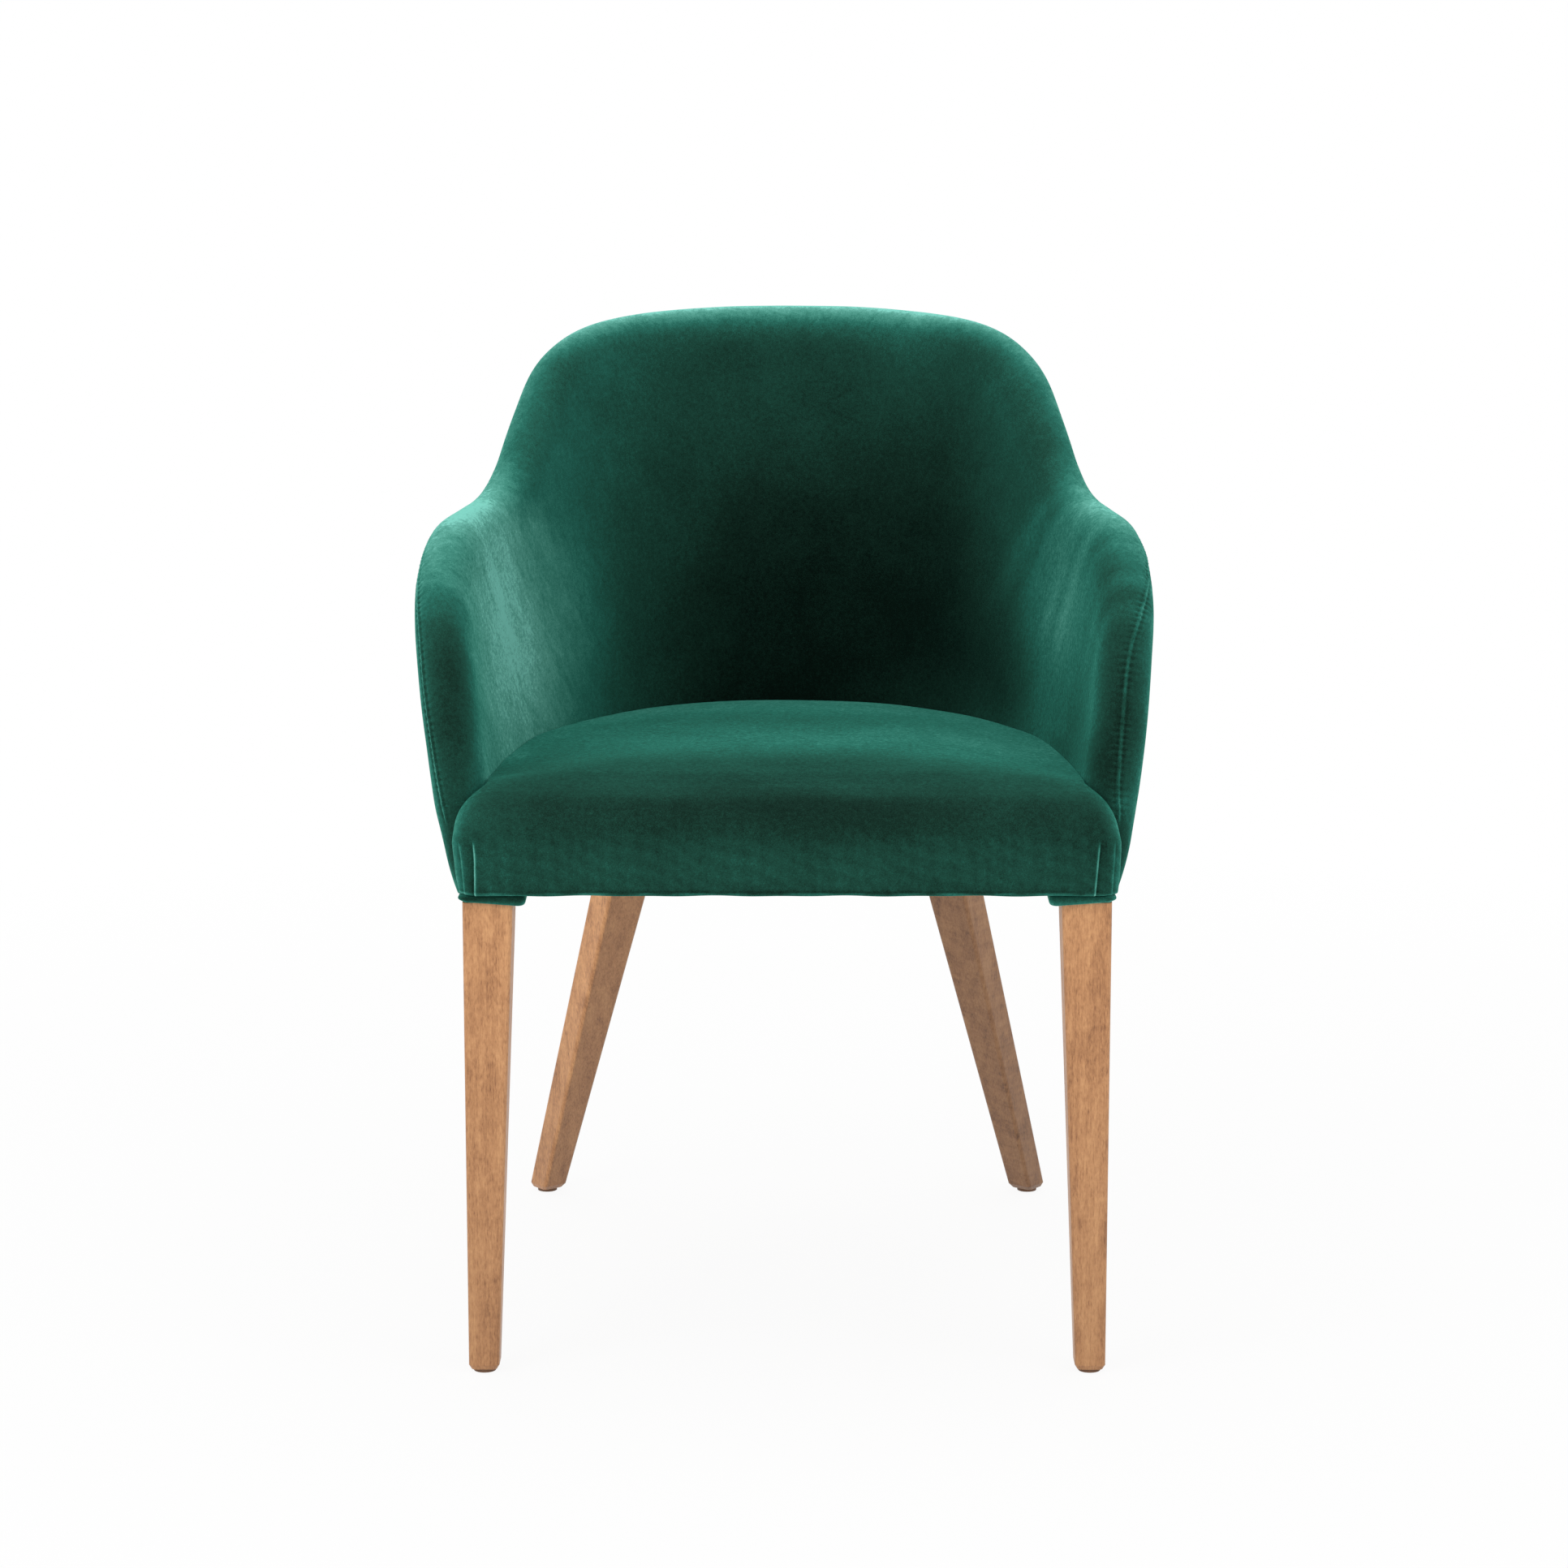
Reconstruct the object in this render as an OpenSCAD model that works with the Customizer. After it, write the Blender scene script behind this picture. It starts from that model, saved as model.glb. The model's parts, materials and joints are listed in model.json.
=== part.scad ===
// Upholstered tub chair: a padded shell that is back and arms in one, a crowned seat between
// the arms, a beech seat frame and four tapered beech legs.
// +Z is up, the sitter faces -Y, and the origin is on the floor under the middle of the chair.

/* [Overall] */
// Depth from the front of the seat to the back of the shell
overall_depth = 588; // [560:1:630]
// Height of the top of the back above the floor
overall_height = 829; // [790:1:870]
// Height of the level stretch of the arms
arm_height = 672; // [650:1:700]
// Distance between the middles of the two arms at arm height
arm_span = 563; // [540:1:600]

/* [Shell] */
// Thickness of the padded shell and of its rounded rim
shell_t = 44; // [40:1:48]
// Height of the underside of the shell and the seat above the floor
body_bottom = 394.5; // [380:0.5:405]
// How far the shell stands out beyond the seat's front at each side, above its drawn-in foot
shell_out = 6.8; // [5:0.2:8]
// How far the foot of the shell is drawn in at each side
shell_tuck = 5; // [2:0.5:7]
// Height over which the foot of the shell is drawn in
tuck_h = 41; // [34:1:46]
// Thickness of the bent plywood core
core_t = 10; // [8:0.5:12]
// Thickness of the velvet
velvet_t = 1.5; // [1:0.1:2]

/* [Seat] */
// Width of the front of the seat
seat_front_w = 528; // [508:1:532]
// Depth of the stretch of the seat that lies in front of the arms
nose_depth = 38; // [36:1:44]
// Height of the flat front band of the seat
band_h = 40.5; // [36:0.5:44]
// How far the foot of the front band is drawn in at each side
band_draw = 4.5; // [3:0.5:5]
// Depth over which the front of the seat rolls over
roll_depth = 79; // [60:1:90]
// Height of the seat above its underside, at the arms and the back
seat_edge_h = 81; // [76:0.5:84]
// Rise of the crown of the seat above its edges
crown_h = 12; // [8:0.5:16]
// Radius of the seat's upper front corners
nose_round = 30; // [24:1:34]
// Radius of the front corners of the seat, seen from above
corner_round = 16; // [12:1:18]

/* [Frame] */
// Height of the seat rails
rail_h = 42; // [38:1:43]
// Thickness of the front and side rails
rail_t = 25; // [22:1:26]
// Thickness of the curved rear rail
rear_rail_t = 50; // [46:1:54]
// Distance that each end of the front rail stays inside the seat's front width
rail_inset = 12; // [11.5:0.5:13]
// Distance from the front of the seat to the front rail
rail_setback = 10; // [9:0.5:12]
// Length of the short sides of the corner blocks
block_side = 56; // [44:1:64]
// Width of the elastic webbing
web_w = 50; // [40:1:56]
// Thickness of the elastic webbing
web_t = 1.6; // [1.2:0.1:1.8]
// Thickness of the felt between webbing and foam
felt_t = 1; // [0.6:0.1:1.4]
// Thickness of the dust cover
dust_t = 0.6; // [0.4:0.1:0.8]

/* [Legs] */
// Width of the top of a front leg
front_leg_top = 40; // [36:1:44]
// Depth of the top of a front leg
front_leg_top_d = 44; // [40:1:46]
// Side of the square bottom of a front leg
front_leg_foot = 24.5; // [23:0.5:30]
// Distance from the front of the seat to the front legs
leg_setback = 8; // [6:0.5:9]
// Distance from the side of the seat's front to the front legs
leg_inset = 7; // [6:0.5:8]
// Thickness of the covered pads on the front legs
pad_t = 6; // [4:0.5:8]
// How far the covered pads reach beyond the front legs at the outside
pad_out = 2.5; // [1:0.5:4]
// How far the covered pads reach beyond the front legs at the inside
pad_in = 9.5; // [6:0.5:12]
// Width of a rear leg across its splay, at the top
rear_leg_top_w = 48; // [42:1:52]
// Thickness of a rear leg along its splay, at the top
rear_leg_top_t = 32; // [30:1:38]
// Side of the square bottom of a rear leg
rear_leg_foot = 25; // [22:0.5:30]
// Angle in plan from the middle of the back to the tops of the rear legs
rear_leg_angle = 21.4; // [19:0.05:22.5]
// Distance from the middle of the rear rail out to the middle of a rear leg's top
rear_leg_out = 7.4; // [4:0.1:10]
// Sideways distance from a rear leg's top out to its foot
rear_splay_x = 96; // [80:1:110]
// Backward distance from a rear leg's top to its foot
rear_splay_y = 122; // [106:1:132]
// Radius of the legs' long edges
leg_round = 3.5; // [2:0.5:5]
// Height of the chamfer round the feet
foot_chamfer = 4; // [2:0.5:6]
// Diameter of the nylon glides
glide_d = 18; // [14:1:20]
// Thickness of the nylon glides
glide_t = 3; // [2:0.5:4]

/* [Hardware] */
// Diameter of the leg bolts
bolt_d = 8; // [6:1:10]
// Length of a leg bolt inside the leg
bolt_grip = 45; // [35:1:60]
// Diameter of the leg washers
washer_d = 20; // [18:1:21]
// Thickness of the leg washers
washer_t = 1.6; // [1.2:0.1:2]
// Width of a leg nut across its corners
nut_w = 14.4; // [12:0.1:16]
// Height of a leg nut
nut_h = 6.5; // [5:0.5:7]
// Diameter of the wooden dowels
dowel_d = 8; // [6:1:9]
// Length of the wooden dowels
dowel_l = 36; // [30:1:40]
// Diameter of the wood screws
screw_d = 4; // [3:0.5:5]
// Diameter of the wood screws' heads
screw_head_d = 8; // [6:0.5:9]
// Height of the wood screws' heads
screw_head_h = 3; // [2:0.5:3.5]
// Length of a staple's crown
staple_w = 10; // [8:0.5:12]
// Thickness of a staple's wire
staple_t = 0.9; // [0.6:0.1:1]
// Length of a staple's legs
staple_l = 8; // [6:0.5:9]

/* [Hidden] */

// Clearance between soft layers, and between a piece and its seat
gap = 0.3;
// Clearance under the shell's velvet, whose rim is rounded in other steps
cover_gap = 0.8;
// Clearance between pieces that follow the shell's curve in different steps
curve_gap = 1.3;
// Overrun of cuts past a face
over = 1;
// Step used to measure directions along the shell, in degrees
turn_step = 0.1;
// Step used to measure directions up the shell
rise_step = 0.1;

velvet = "#0d5340";
velvet_dark = "#0a4434";
beech = "#b5834f";
frame_wood = "#d8bd8c";
foam_yellow = "#eee2b0";
padding_white = "#f1f0ea";
plywood = "#cfa673";
felt_grey = "#8f8f8b";
web_black = "#2b2b2d";
steel = "#b9bdc2";
nylon = "#2a2a2a";

// The shell is a superellipse in plan, centred in front, that widens and leans back with height
r_rim = shell_t / 2;
front_y = -overall_depth / 2;
shell_y = front_y + nose_depth + r_rim;
rim_top = overall_height - r_rim;
rim_arm = arm_height - r_rim;
plan_power = 2.25;
widen_high_share = 0.07;
lean_share = 0.1147;
widen_height_share = 0.883;
widen_z = body_bottom + (rim_arm - body_bottom) * widen_height_share;
nose_half = seat_front_w / 2;
shell_foot_half = nose_half + shell_out - r_rim;
widen_low_share = (arm_span / 2 - shell_foot_half) / (widen_z - body_bottom);

// Rim from the foot of an arm's front edge to the arm's top: angle in plan from the back's
// middle, and share of the height from the shell's underside to the arm's rim
arm_rim_shares = [
  [90, 0], [89.3, 0.14], [88, 0.335], [85.5, 0.53], [82.5, 0.655], [79, 0.757],
  [75.3, 0.835], [71.4, 0.886], [67.8, 0.931], [63.1, 0.971], [59.4, 1]
];
// Rim from there to the middle of the back: angle, and share of the height from arm to back
back_rim_shares = [
  [52, 0.018], [45.4, 0.046], [41.5, 0.092], [38.7, 0.161], [35.7, 0.284], [34, 0.395],
  [32.4, 0.497], [30.8, 0.602], [29.4, 0.697], [27.7, 0.776], [26, 0.828], [24.5, 0.868],
  [23, 0.898], [21, 0.926], [18.5, 0.948], [15, 0.969], [11, 0.984], [6, 0.996], [0, 1]
];
rim = concat(
  [for (s = arm_rim_shares) [s[0], body_bottom + s[1] * (rim_arm - body_bottom)]],
  [for (s = back_rim_shares) [s[0], rim_arm + s[1] * (rim_top - rim_arm)]]
);

function tuck(z) = shell_tuck * pow(max(0, body_bottom + tuck_h - z) / tuck_h, 2);
function half_w(z) =
  arm_span / 2 + (z > widen_z ? widen_high_share : widen_low_share) * (z - widen_z) - tuck(z);
function back_y(z) = overall_depth / 2 - r_rim - lean_share * (rim_top - z);
function half_d(z) = back_y(z) - shell_y;

// Point on the shell's mid surface at a plan angle and a height
function shell_point(angle, z) =
  let (s = sin(angle), c = cos(angle))
  let (r = pow(pow(abs(s) / half_w(z), plan_power) + pow(abs(c) / half_d(z), plan_power),
               -1 / plan_power))
  [r * s, shell_y + r * c, z];
function unit(v) = v / norm(v);
function level_normal(angle, z) =
  let (d = shell_point(angle + turn_step, z) - shell_point(angle - turn_step, z))
  unit([-d[1], d[0], 0]);
function full_normal(angle, z) =
  let (d = shell_point(angle + turn_step, z) - shell_point(angle - turn_step, z))
  let (u = shell_point(angle, z + rise_step) - shell_point(angle, z - rise_step))
  unit(cross(u, d));
function beside(angle, z, v) = shell_point(angle, z) + v * level_normal(angle, z);
// Half width and back of the shell's mid surface for a given depth or sideways place
function width_at(y, z) =
  half_w(z) * pow(1 - pow(max(0, y - shell_y) / half_d(z), plan_power), 1 / plan_power);
function depth_at(x, z) =
  shell_y + half_d(z) * pow(1 - pow(abs(x) / half_w(z), plan_power), 1 / plan_power);

// Rim stations: even steps of length along the rim, with one step at the seat's edge
steps = 26;
skirt_steps = 2;
pad_foot_share = 0.637;
pad_front_share = 0.808;
pad_start_share = 0.72;
inner_share = 0.9;
pad_foot_z = body_bottom + pad_foot_share * seat_edge_h;
pad_front_z = body_bottom + pad_front_share * seat_edge_h;
function rim_run(i) =
  i == 0 ? 0
         : rim_run(i - 1) + norm(shell_point(rim[i][0], rim[i][1])
                                 - shell_point(rim[i - 1][0], rim[i - 1][1]));
rim_runs = [for (i = [0 : len(rim) - 1]) rim_run(i)];
run_to_angle = [for (i = [0 : len(rim) - 1]) [rim_runs[i], rim[i][0]]];
run_to_z = [for (i = [0 : len(rim) - 1]) [rim_runs[i], rim[i][1]]];
z_to_run = [for (i = [0 : len(arm_rim_shares) - 1]) [rim[i][1], rim_runs[i]]];
rim_length = rim_runs[len(rim) - 1];
skirt_run = lookup(pad_front_z, z_to_run);
function station_run(k) =
  k <= skirt_steps ? skirt_run * k / skirt_steps
                   : skirt_run + (rim_length - skirt_run) * (k - skirt_steps) / (steps - skirt_steps);
station_angle = [for (k = [0 : steps]) lookup(station_run(k), run_to_angle)];
station_z = [for (k = [0 : steps]) lookup(station_run(k), run_to_z)];
foot_front_angle = 78;
foot_angle = [for (k = [0 : steps]) foot_front_angle * (1 - k / steps)];

// Columns count from the left arm's foot over the back to the right arm's foot, and the
// layers are swept from the right to the left
function side_of(i) = i < steps ? -1 : 1;
function station_of(i) = steps - abs(i - steps);
function pad_share(k) =
  min(pad_start_share, (pad_foot_z - body_bottom) / max(gap, station_z[k] - body_bottom));
function along(i, p) =
  let (k = station_of(i))
  [side_of(i) * (foot_angle[k] + p * (station_angle[k] - foot_angle[k])),
   body_bottom + p * (station_z[k] - body_bottom)];
function rim_point(i) = let (a = along(i, 1)) shell_point(a[0], a[1]);

// Direction across the shell's thickness, level at the underside and along the lowest column
function across(i, p) =
  let (a = along(i, p))
  p == 0 || station_of(i) == 0 ? level_normal(a[0], a[1]) : full_normal(a[0], a[1]);
// Direction beyond the rim, square to the rim and in the mid surface
function beyond(i) =
  let (n = across(i, 1))
  let (t = station_of(i) == 0 ? [0, 0, 1] : rim_point(i + 1) - rim_point(i - 1))
  let (e = unit(cross(n, t)))
  let (inner = along(i, inner_share))
  e * sign(e * (rim_point(i) - shell_point(inner[0], inner[1])));
function face_point(i, p, v) = let (a = along(i, p)) shell_point(a[0], a[1]) + v * across(i, p);
function bead_point(i, psi, r) =
  rim_point(i) + r * (cos(psi) * beyond(i) + sin(psi) * across(i, 1));

// A closed solid through equal rings of points, each ring a path up and a like path back down.
// Both paths' squares are split along the same diagonal, so that nested layers stay clear.
module ring_sweep(rings) {
  n = len(rings[0]);
  m = len(rings);
  half = n / 2;
  sides = [for (i = [0 : m - 2], j = [0 : n - 1], f = [0, 1])
    let (a = i * n + j, b = i * n + (j + 1) % n, c = b + n, d = a + n)
    j < half ? (f == 0 ? [a, d, c] : [a, c, b]) : (f == 0 ? [a, d, b] : [b, d, c])];
  start_cap = [for (j = [0 : half - 2], f = [0, 1])
    f == 0 ? [j, j + 1, n - 2 - j] : [j, n - 2 - j, n - 1 - j]];
  end_at = (m - 1) * n;
  end_cap = [for (j = [0 : half - 2], f = [0, 1])
    f == 0 ? [end_at + j, end_at + n - 2 - j, end_at + j + 1]
           : [end_at + j, end_at + n - 1 - j, end_at + n - 2 - j]];
  polyhedron([for (ring = rings, q = ring) q], concat(sides, start_cap, end_cap));
}

// A closed solid between two grids of the same size, the first one on the outside
module grid_slab(outer, inner) {
  m = len(outer);
  n = len(outer[0]);
  k = m * n;
  faces = [for (i = [0 : m - 2], j = [0 : n - 2], f = [0 : 3])
    let (a = i * n + j, b = a + 1, c = a + n + 1, d = a + n)
    f == 0 ? [a, c, b] : f == 1 ? [a, d, c] : f == 2 ? [k + a, k + b, k + c] : [k + a, k + c, k + d]];
  edge = concat(
    [for (j = [0 : n - 2]) [j, j + 1]],
    [for (i = [0 : m - 2]) [i * n + n - 1, (i + 1) * n + n - 1]],
    [for (j = [n - 1 : -1 : 1]) [(m - 1) * n + j, (m - 1) * n + j - 1]],
    [for (i = [m - 1 : -1 : 1]) [i * n, (i - 1) * n]]
  );
  walls = [for (e = edge, f = [0, 1]) f == 0 ? [e[0], e[1], k + e[1]] : [e[0], k + e[1], k + e[0]]];
  polyhedron([for (g = [outer, inner], row = g, q = row) q], concat(faces, walls));
}

// Shell layers
face_shares = [0, 0.25, 0.5, 0.75];
inner_bead_steps = 6;
outer_bead_steps = 4;
function face_rows(k) = [for (s = face_shares) pad_share(k) + (1 - pad_share(k)) * s];
// Where the seam runs on the rim: on the middle of the front edge, then to the outside
seam_shares = [[0, 0.02], [0.22, 0.04], [0.3, 0.36], [0.38, 0.62], [0.5, 0.72], [1, 0.75]];
function seam_angle(i) = 90 * lookup(station_run(station_of(i)) / rim_length, seam_shares);
split_angle = 1;

// Path up the inner face and round the rim as far as an angle
function inner_path(i, r, to) = concat(
  [for (p = face_rows(station_of(i))) face_point(i, p, -r)],
  [for (b = [0 : inner_bead_steps]) bead_point(i, -90 + (to + 90) * b / inner_bead_steps, r)]
);
// Path from an angle on the rim down the outer face to the underside
function outer_path(i, r, from) = concat(
  [for (b = [0 : outer_bead_steps]) bead_point(i, from + (90 - from) * b / outer_bead_steps, r)],
  [for (j = [len(face_shares) - 1 : -1 : 0]) face_point(i, face_rows(station_of(i))[j], r)],
  [face_point(i, 0, r)]
);
function back_again(path) = [for (j = [len(path) - 1 : -1 : 0]) path[j]];
module inner_layer(outside_r, inside_r, seamed) {
  ring_sweep([for (i = [2 * steps - skirt_steps : -1 : skirt_steps])
    let (to = seamed ? seam_angle(i) - split_angle : -split_angle)
    concat(inner_path(i, outside_r, to), back_again(inner_path(i, inside_r, to)))]);
}
module outer_layer(outside_r, inside_r, seamed) {
  ring_sweep([for (i = [2 * steps : -1 : 0])
    let (from = seamed ? seam_angle(i) + split_angle : split_angle)
    concat(back_again(outer_path(i, inside_r, from)), outer_path(i, outside_r, from))]);
}
core_r = core_t / 2;
foam_r = r_rim - velvet_t - cover_gap;

module inside_cover() {
  color(velvet) inner_layer(r_rim, r_rim - velvet_t, true);
}
module outside_cover() {
  color(velvet) outer_layer(r_rim, r_rim - velvet_t, true);
}
module inside_foam() {
  color(foam_yellow) inner_layer(foam_r, core_r + gap, false);
}
module outside_padding() {
  color(padding_white) outer_layer(foam_r, core_r + gap, false);
}
core_ends = [-90, -30, 30, 90];
module shell_core() {
  color(plywood) difference() {
    ring_sweep([for (i = [2 * steps : -1 : 0])
      let (rows = concat([0], face_rows(station_of(i))))
      concat([for (p = rows) face_point(i, p, -core_r)],
             [for (psi = core_ends) bead_point(i, psi, core_r)],
             back_again([for (p = rows) face_point(i, p, core_r)]))]);
    shell_screw_set();
  }
}

// Seat frame
rail_z = body_bottom;
rail_top = rail_z + rail_h;
rail_v = -core_r - curve_gap;
rail_front = front_y + rail_setback;
rail_back = rail_front + rail_t;
rail_half = nose_half - rail_inset;
rail_joint_angle = 34;
rail_joint_gap_angle = 0.08;
rail_turn_steps = 8;
bolt_y = (rail_front + rail_back) / 2;
bolt_x = nose_half - leg_inset - front_leg_top / 2;

// Places children on the shell's mid surface: +X points outward and +Y along the shell
module at_shell(angle, z, v) {
  n = level_normal(angle, z);
  translate(beside(angle, z, v)) rotate([0, 0, atan2(n[1], n[0])]) children();
}

// A rail of constant thickness that follows the shell, through plan angles and forward shifts
module curved_rail(stations, t, foot = rail_z, top = rail_top) {
  ring_sweep([for (s = stations)
    let (ahead = [0, -s[1], 0])
    [beside(s[0], foot, rail_v) + ahead, beside(s[0], top, rail_v) + ahead,
     beside(s[0], top, rail_v - t) + ahead, beside(s[0], foot, rail_v - t) + ahead]]);
}
rail_reach = shell_y - rail_back;
side_start = rail_joint_angle + rail_joint_gap_angle;
side_stations = concat(
  [for (j = [0 : rail_turn_steps]) [side_start + (90 - side_start) * j / rail_turn_steps, 0]],
  [[90, rail_reach]]
);
module side_rail() {
  difference() {
    curved_rail(side_stations, rail_t);
    dowel_set();
    shell_screw_set();
    block_screw_set();
    staple_set();
    dust_staple_set();
  }
}
module side_rail_right() {
  color(frame_wood) side_rail();
}
module side_rail_left() {
  color(frame_wood) mirror([1, 0, 0]) side_rail();
}
module rear_rail() {
  color(frame_wood) difference() {
    curved_rail([for (j = [-rail_turn_steps : rail_turn_steps])
      [rail_joint_angle * j / rail_turn_steps, 0]], rear_rail_t);
    dowel_set();
    shell_screw_set();
    staple_set();
    dust_staple_set();
    leg_bolt_wells();
  }
}
module front_rail() {
  color(frame_wood) difference() {
    translate([-rail_half, rail_front, rail_z]) cube([2 * rail_half, rail_t, rail_h]);
    dowel_set();
    block_screw_set();
    staple_set();
    leg_bolt_wells();
  }
}

// Corner blocks fill the corners behind the front rail, clear of the side rails' flare
block_x = beside(90, rail_z, rail_v - rail_t)[0] - gap;
module corner_block() {
  difference() {
    translate([0, 0, rail_z]) linear_extrude(rail_h)
      polygon([[block_x, rail_back], [block_x, rail_back + block_side],
               [block_x - block_side, rail_back]]);
    block_screw_set();
    for (s = block_screw_shares) translate([block_x - block_side, block_screw_y, rail_z + s * rail_h])
      rotate([0, 90, 0]) cylinder(d = screw_head_d, h = block_side - block_screw_in, $fn = 32);
  }
}
module corner_block_right() {
  color(frame_wood) corner_block();
}
module corner_block_left() {
  color(frame_wood) mirror([1, 0, 0]) corner_block();
}

// Wood screw along +X, its head's top at the origin
module screw(l) {
  rotate([0, 90, 0]) cylinder(d = screw_d, h = l, $fn = 32);
  rotate([0, 90, 0]) cylinder(d = screw_head_d, h = screw_head_h, $fn = 32);
}
shell_screw_angles = [14, 52, 72];
core_bite_share = 0.8;
shell_screw_l = rail_t / 2 + core_t * core_bite_share;
module shell_screw_set() {
  for (side = [-1, 1], angle = shell_screw_angles)
    at_shell(side * angle, rail_z + rail_h / 2, rail_v - rail_t / 2) screw(shell_screw_l);
}
module shell_screws() {
  color(steel) shell_screw_set();
}
rail_bite_share = 0.7;
block_depth_share = 0.45;
block_screw_in = block_side / 3;
block_screw_l = block_screw_in + rail_t * rail_bite_share;
block_screw_y = rail_back + block_side * block_depth_share;
block_screw_shares = [0.3, 0.7];
module block_screw_set() {
  for (side = [0, 1], s = block_screw_shares) mirror([side, 0, 0])
    translate([block_x - block_screw_in, block_screw_y, rail_z + s * rail_h])
      screw(block_screw_l);
}
module block_screws() {
  color(steel) block_screw_set();
}
dowel_shares = [0.26, 0.74];
dowel_depth_share = 0.62;
module dowel_set() {
  front_x = beside(90, rail_z, rail_v - rail_t * dowel_depth_share)[0];
  for (side = [0, 1], s = dowel_shares) mirror([side, 0, 0]) {
    translate([front_x, rail_back - dowel_l / 2, rail_z + s * rail_h])
      rotate([-90, 0, 0]) cylinder(d = dowel_d, h = dowel_l, $fn = 32);
    at_shell(rail_joint_angle, rail_z + s * rail_h, rail_v - rail_t / 2)
      translate([0, -dowel_l / 2, 0]) rotate([-90, 0, 0]) cylinder(d = dowel_d, h = dowel_l, $fn = 32);
  }
}
module frame_dowels() {
  color(beech) dowel_set();
}

// Webbing, stapled to the rails, with the felt and the foam over it
web_z = rail_top;
cross_shares = [0.14, 0.34, 0.54, 0.74];
long_shares = [-0.6, -0.2, 0.2, 0.6];
web_hold_share = 0.75;
web_front_share = 0.3;
web_span_y = back_y(rail_top) - rail_back;
function cross_y(s) = rail_back + s * web_span_y;
function cross_half(s) = width_at(cross_y(s) + web_w / 2, rail_top) - core_r - rail_t * web_hold_share;
function long_x(s) = s * half_w(rail_top);
function long_end(s) = depth_at(abs(long_x(s)) + web_w / 2, rail_top) - core_r - rail_t * web_hold_share;
long_start = rail_front + rail_t * web_front_share;
module webbing_cross() {
  color(web_black) difference() {
    for (s = cross_shares)
      translate([-cross_half(s), cross_y(s) - web_w / 2, web_z])
        cube([2 * cross_half(s), web_w, web_t]);
    staple_set();
  }
}
module webbing_long() {
  color(web_black) difference() {
    for (s = long_shares)
      translate([long_x(s) - web_w / 2, long_start, web_z + web_t])
        cube([web_w, long_end(s) - long_start, web_t]);
    staple_set();
  }
}
// Staple with its crown along X and its legs down from the origin
module staple() {
  translate([-staple_w / 2, -staple_t / 2, 0]) cube([staple_w, staple_t, staple_t]);
  for (x = [-staple_w / 2, staple_w / 2 - staple_t])
    translate([x, -staple_t / 2, -staple_l]) cube([staple_t, staple_t, staple_l]);
}
staple_place_shares = [-0.28, 0.28];
staple_in_share = 0.6;
staple_front_share = 0.4;
module staple_set() {
  for (side = [-1, 1], s = cross_shares, a = staple_place_shares)
    translate([side * (cross_half(s) - staple_w * staple_in_share), cross_y(s) + a * web_w, web_z + web_t])
      rotate([0, 0, 90]) staple();
  for (s = long_shares, a = staple_place_shares) {
    translate([long_x(s) + a * web_w, long_start + staple_w * staple_front_share, web_z + 2 * web_t])
      staple();
    translate([long_x(s) + a * web_w, long_end(s) - staple_w * staple_in_share, web_z + 2 * web_t])
      staple();
  }
}
module webbing_staples() {
  color(steel) staple_set();
}
felt_z = web_z + 2 * web_t + staple_t + gap;
felt_in_share = 0.2;
felt_v = -r_rim - curve_gap - rail_t * felt_in_share;
function plan_outline(z, v, front) = let (turns = 12) concat(
  [[-beside(90, z, v)[0], front]],
  [for (j = [-turns : turns]) let (q = beside(90 * j / turns, z, v)) [q[0], q[1]]],
  [[beside(90, z, v)[0], front]]
);
module seat_felt() {
  color(felt_grey) translate([0, 0, felt_z]) linear_extrude(felt_t)
    polygon(plan_outline(rail_top, felt_v, rail_front));
}

// Seat cushion: rows run from under the front rail up the band, round the nose and back over
// the crown; columns run across, with one more at each side for the walls beside the arms
deck_z = felt_z + felt_t + gap;
seat_v = -r_rim - curve_gap;
seat_z = body_bottom + seat_edge_h;
nose_back = shell_y - r_rim - gap;
nose_step = velvet_t + gap;
nose_end = nose_back - nose_step;
column_shares = [-1, -0.985, -0.96, -0.92, -0.84, -0.68, -0.46, -0.23, 0,
                 0.23, 0.46, 0.68, 0.84, 0.92, 0.96, 0.985, 1];
roll_angles = [18, 36, 54, 72, 90];
arm_turn_share = 0.08;
arm_turns = 3;
top_shares = concat(
  [for (j = [0 : arm_turns]) arm_turn_share * j / arm_turns],
  [0.13, 0.2, 0.3, 0.4, 0.5, 0.6, 0.7, 0.8, 0.88, 0.94, 0.98, 1]
);
wall_z = deck_z + 2 * velvet_t;
corner_angle = 38;
wall_turn = 2;
wall_draw = 4;
// Height of the crown along the middle, front to back, as shares of the crown's rise
crown_shares = [
  [0, 0.55], [0.12, 0.8], [0.3, 0.97], [0.45, 1], [0.65, 0.86], [0.85, 0.42], [1, -0.1]
];
// Height of the seat's edge along an arm, front to back, as shares of the crown's rise
edge_shares = [[0, 0.4], [0.12, 0.1], [0.35, -0.15], [0.6, -0.1], [0.85, 0.15], [1, -0.1]];
crown_power = 2.6;
// Part of the nose's rounding that lies past its side walls
nose_past_share = 0.04;
nose_low = body_bottom + band_h;
roll_end = front_y + roll_depth;
function quarter(q) = sqrt(1 - pow(min(1, max(0, q)), 2));
function nose_front(x) =
  front_y + corner_round * (1 - quarter((abs(x) - nose_half + corner_round) / corner_round));
// Height of the seat: a crowned dome that rolls over towards its front and its front corners
function seat_height(x, y, u, t) =
  let (edge = lookup(t, edge_shares), mid = lookup(t, crown_shares))
  let (dome = seat_z + crown_h * (edge + (mid - edge) * (1 - pow(abs(u), crown_power))))
  let (ahead = quarter((roll_end - y) / (roll_end - nose_front(x))))
  let (aside = quarter((abs(x) - nose_half + nose_round) / (nose_round * (1 + nose_past_share))))
  nose_low + (dome - nose_low) * ahead * aside;
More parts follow.
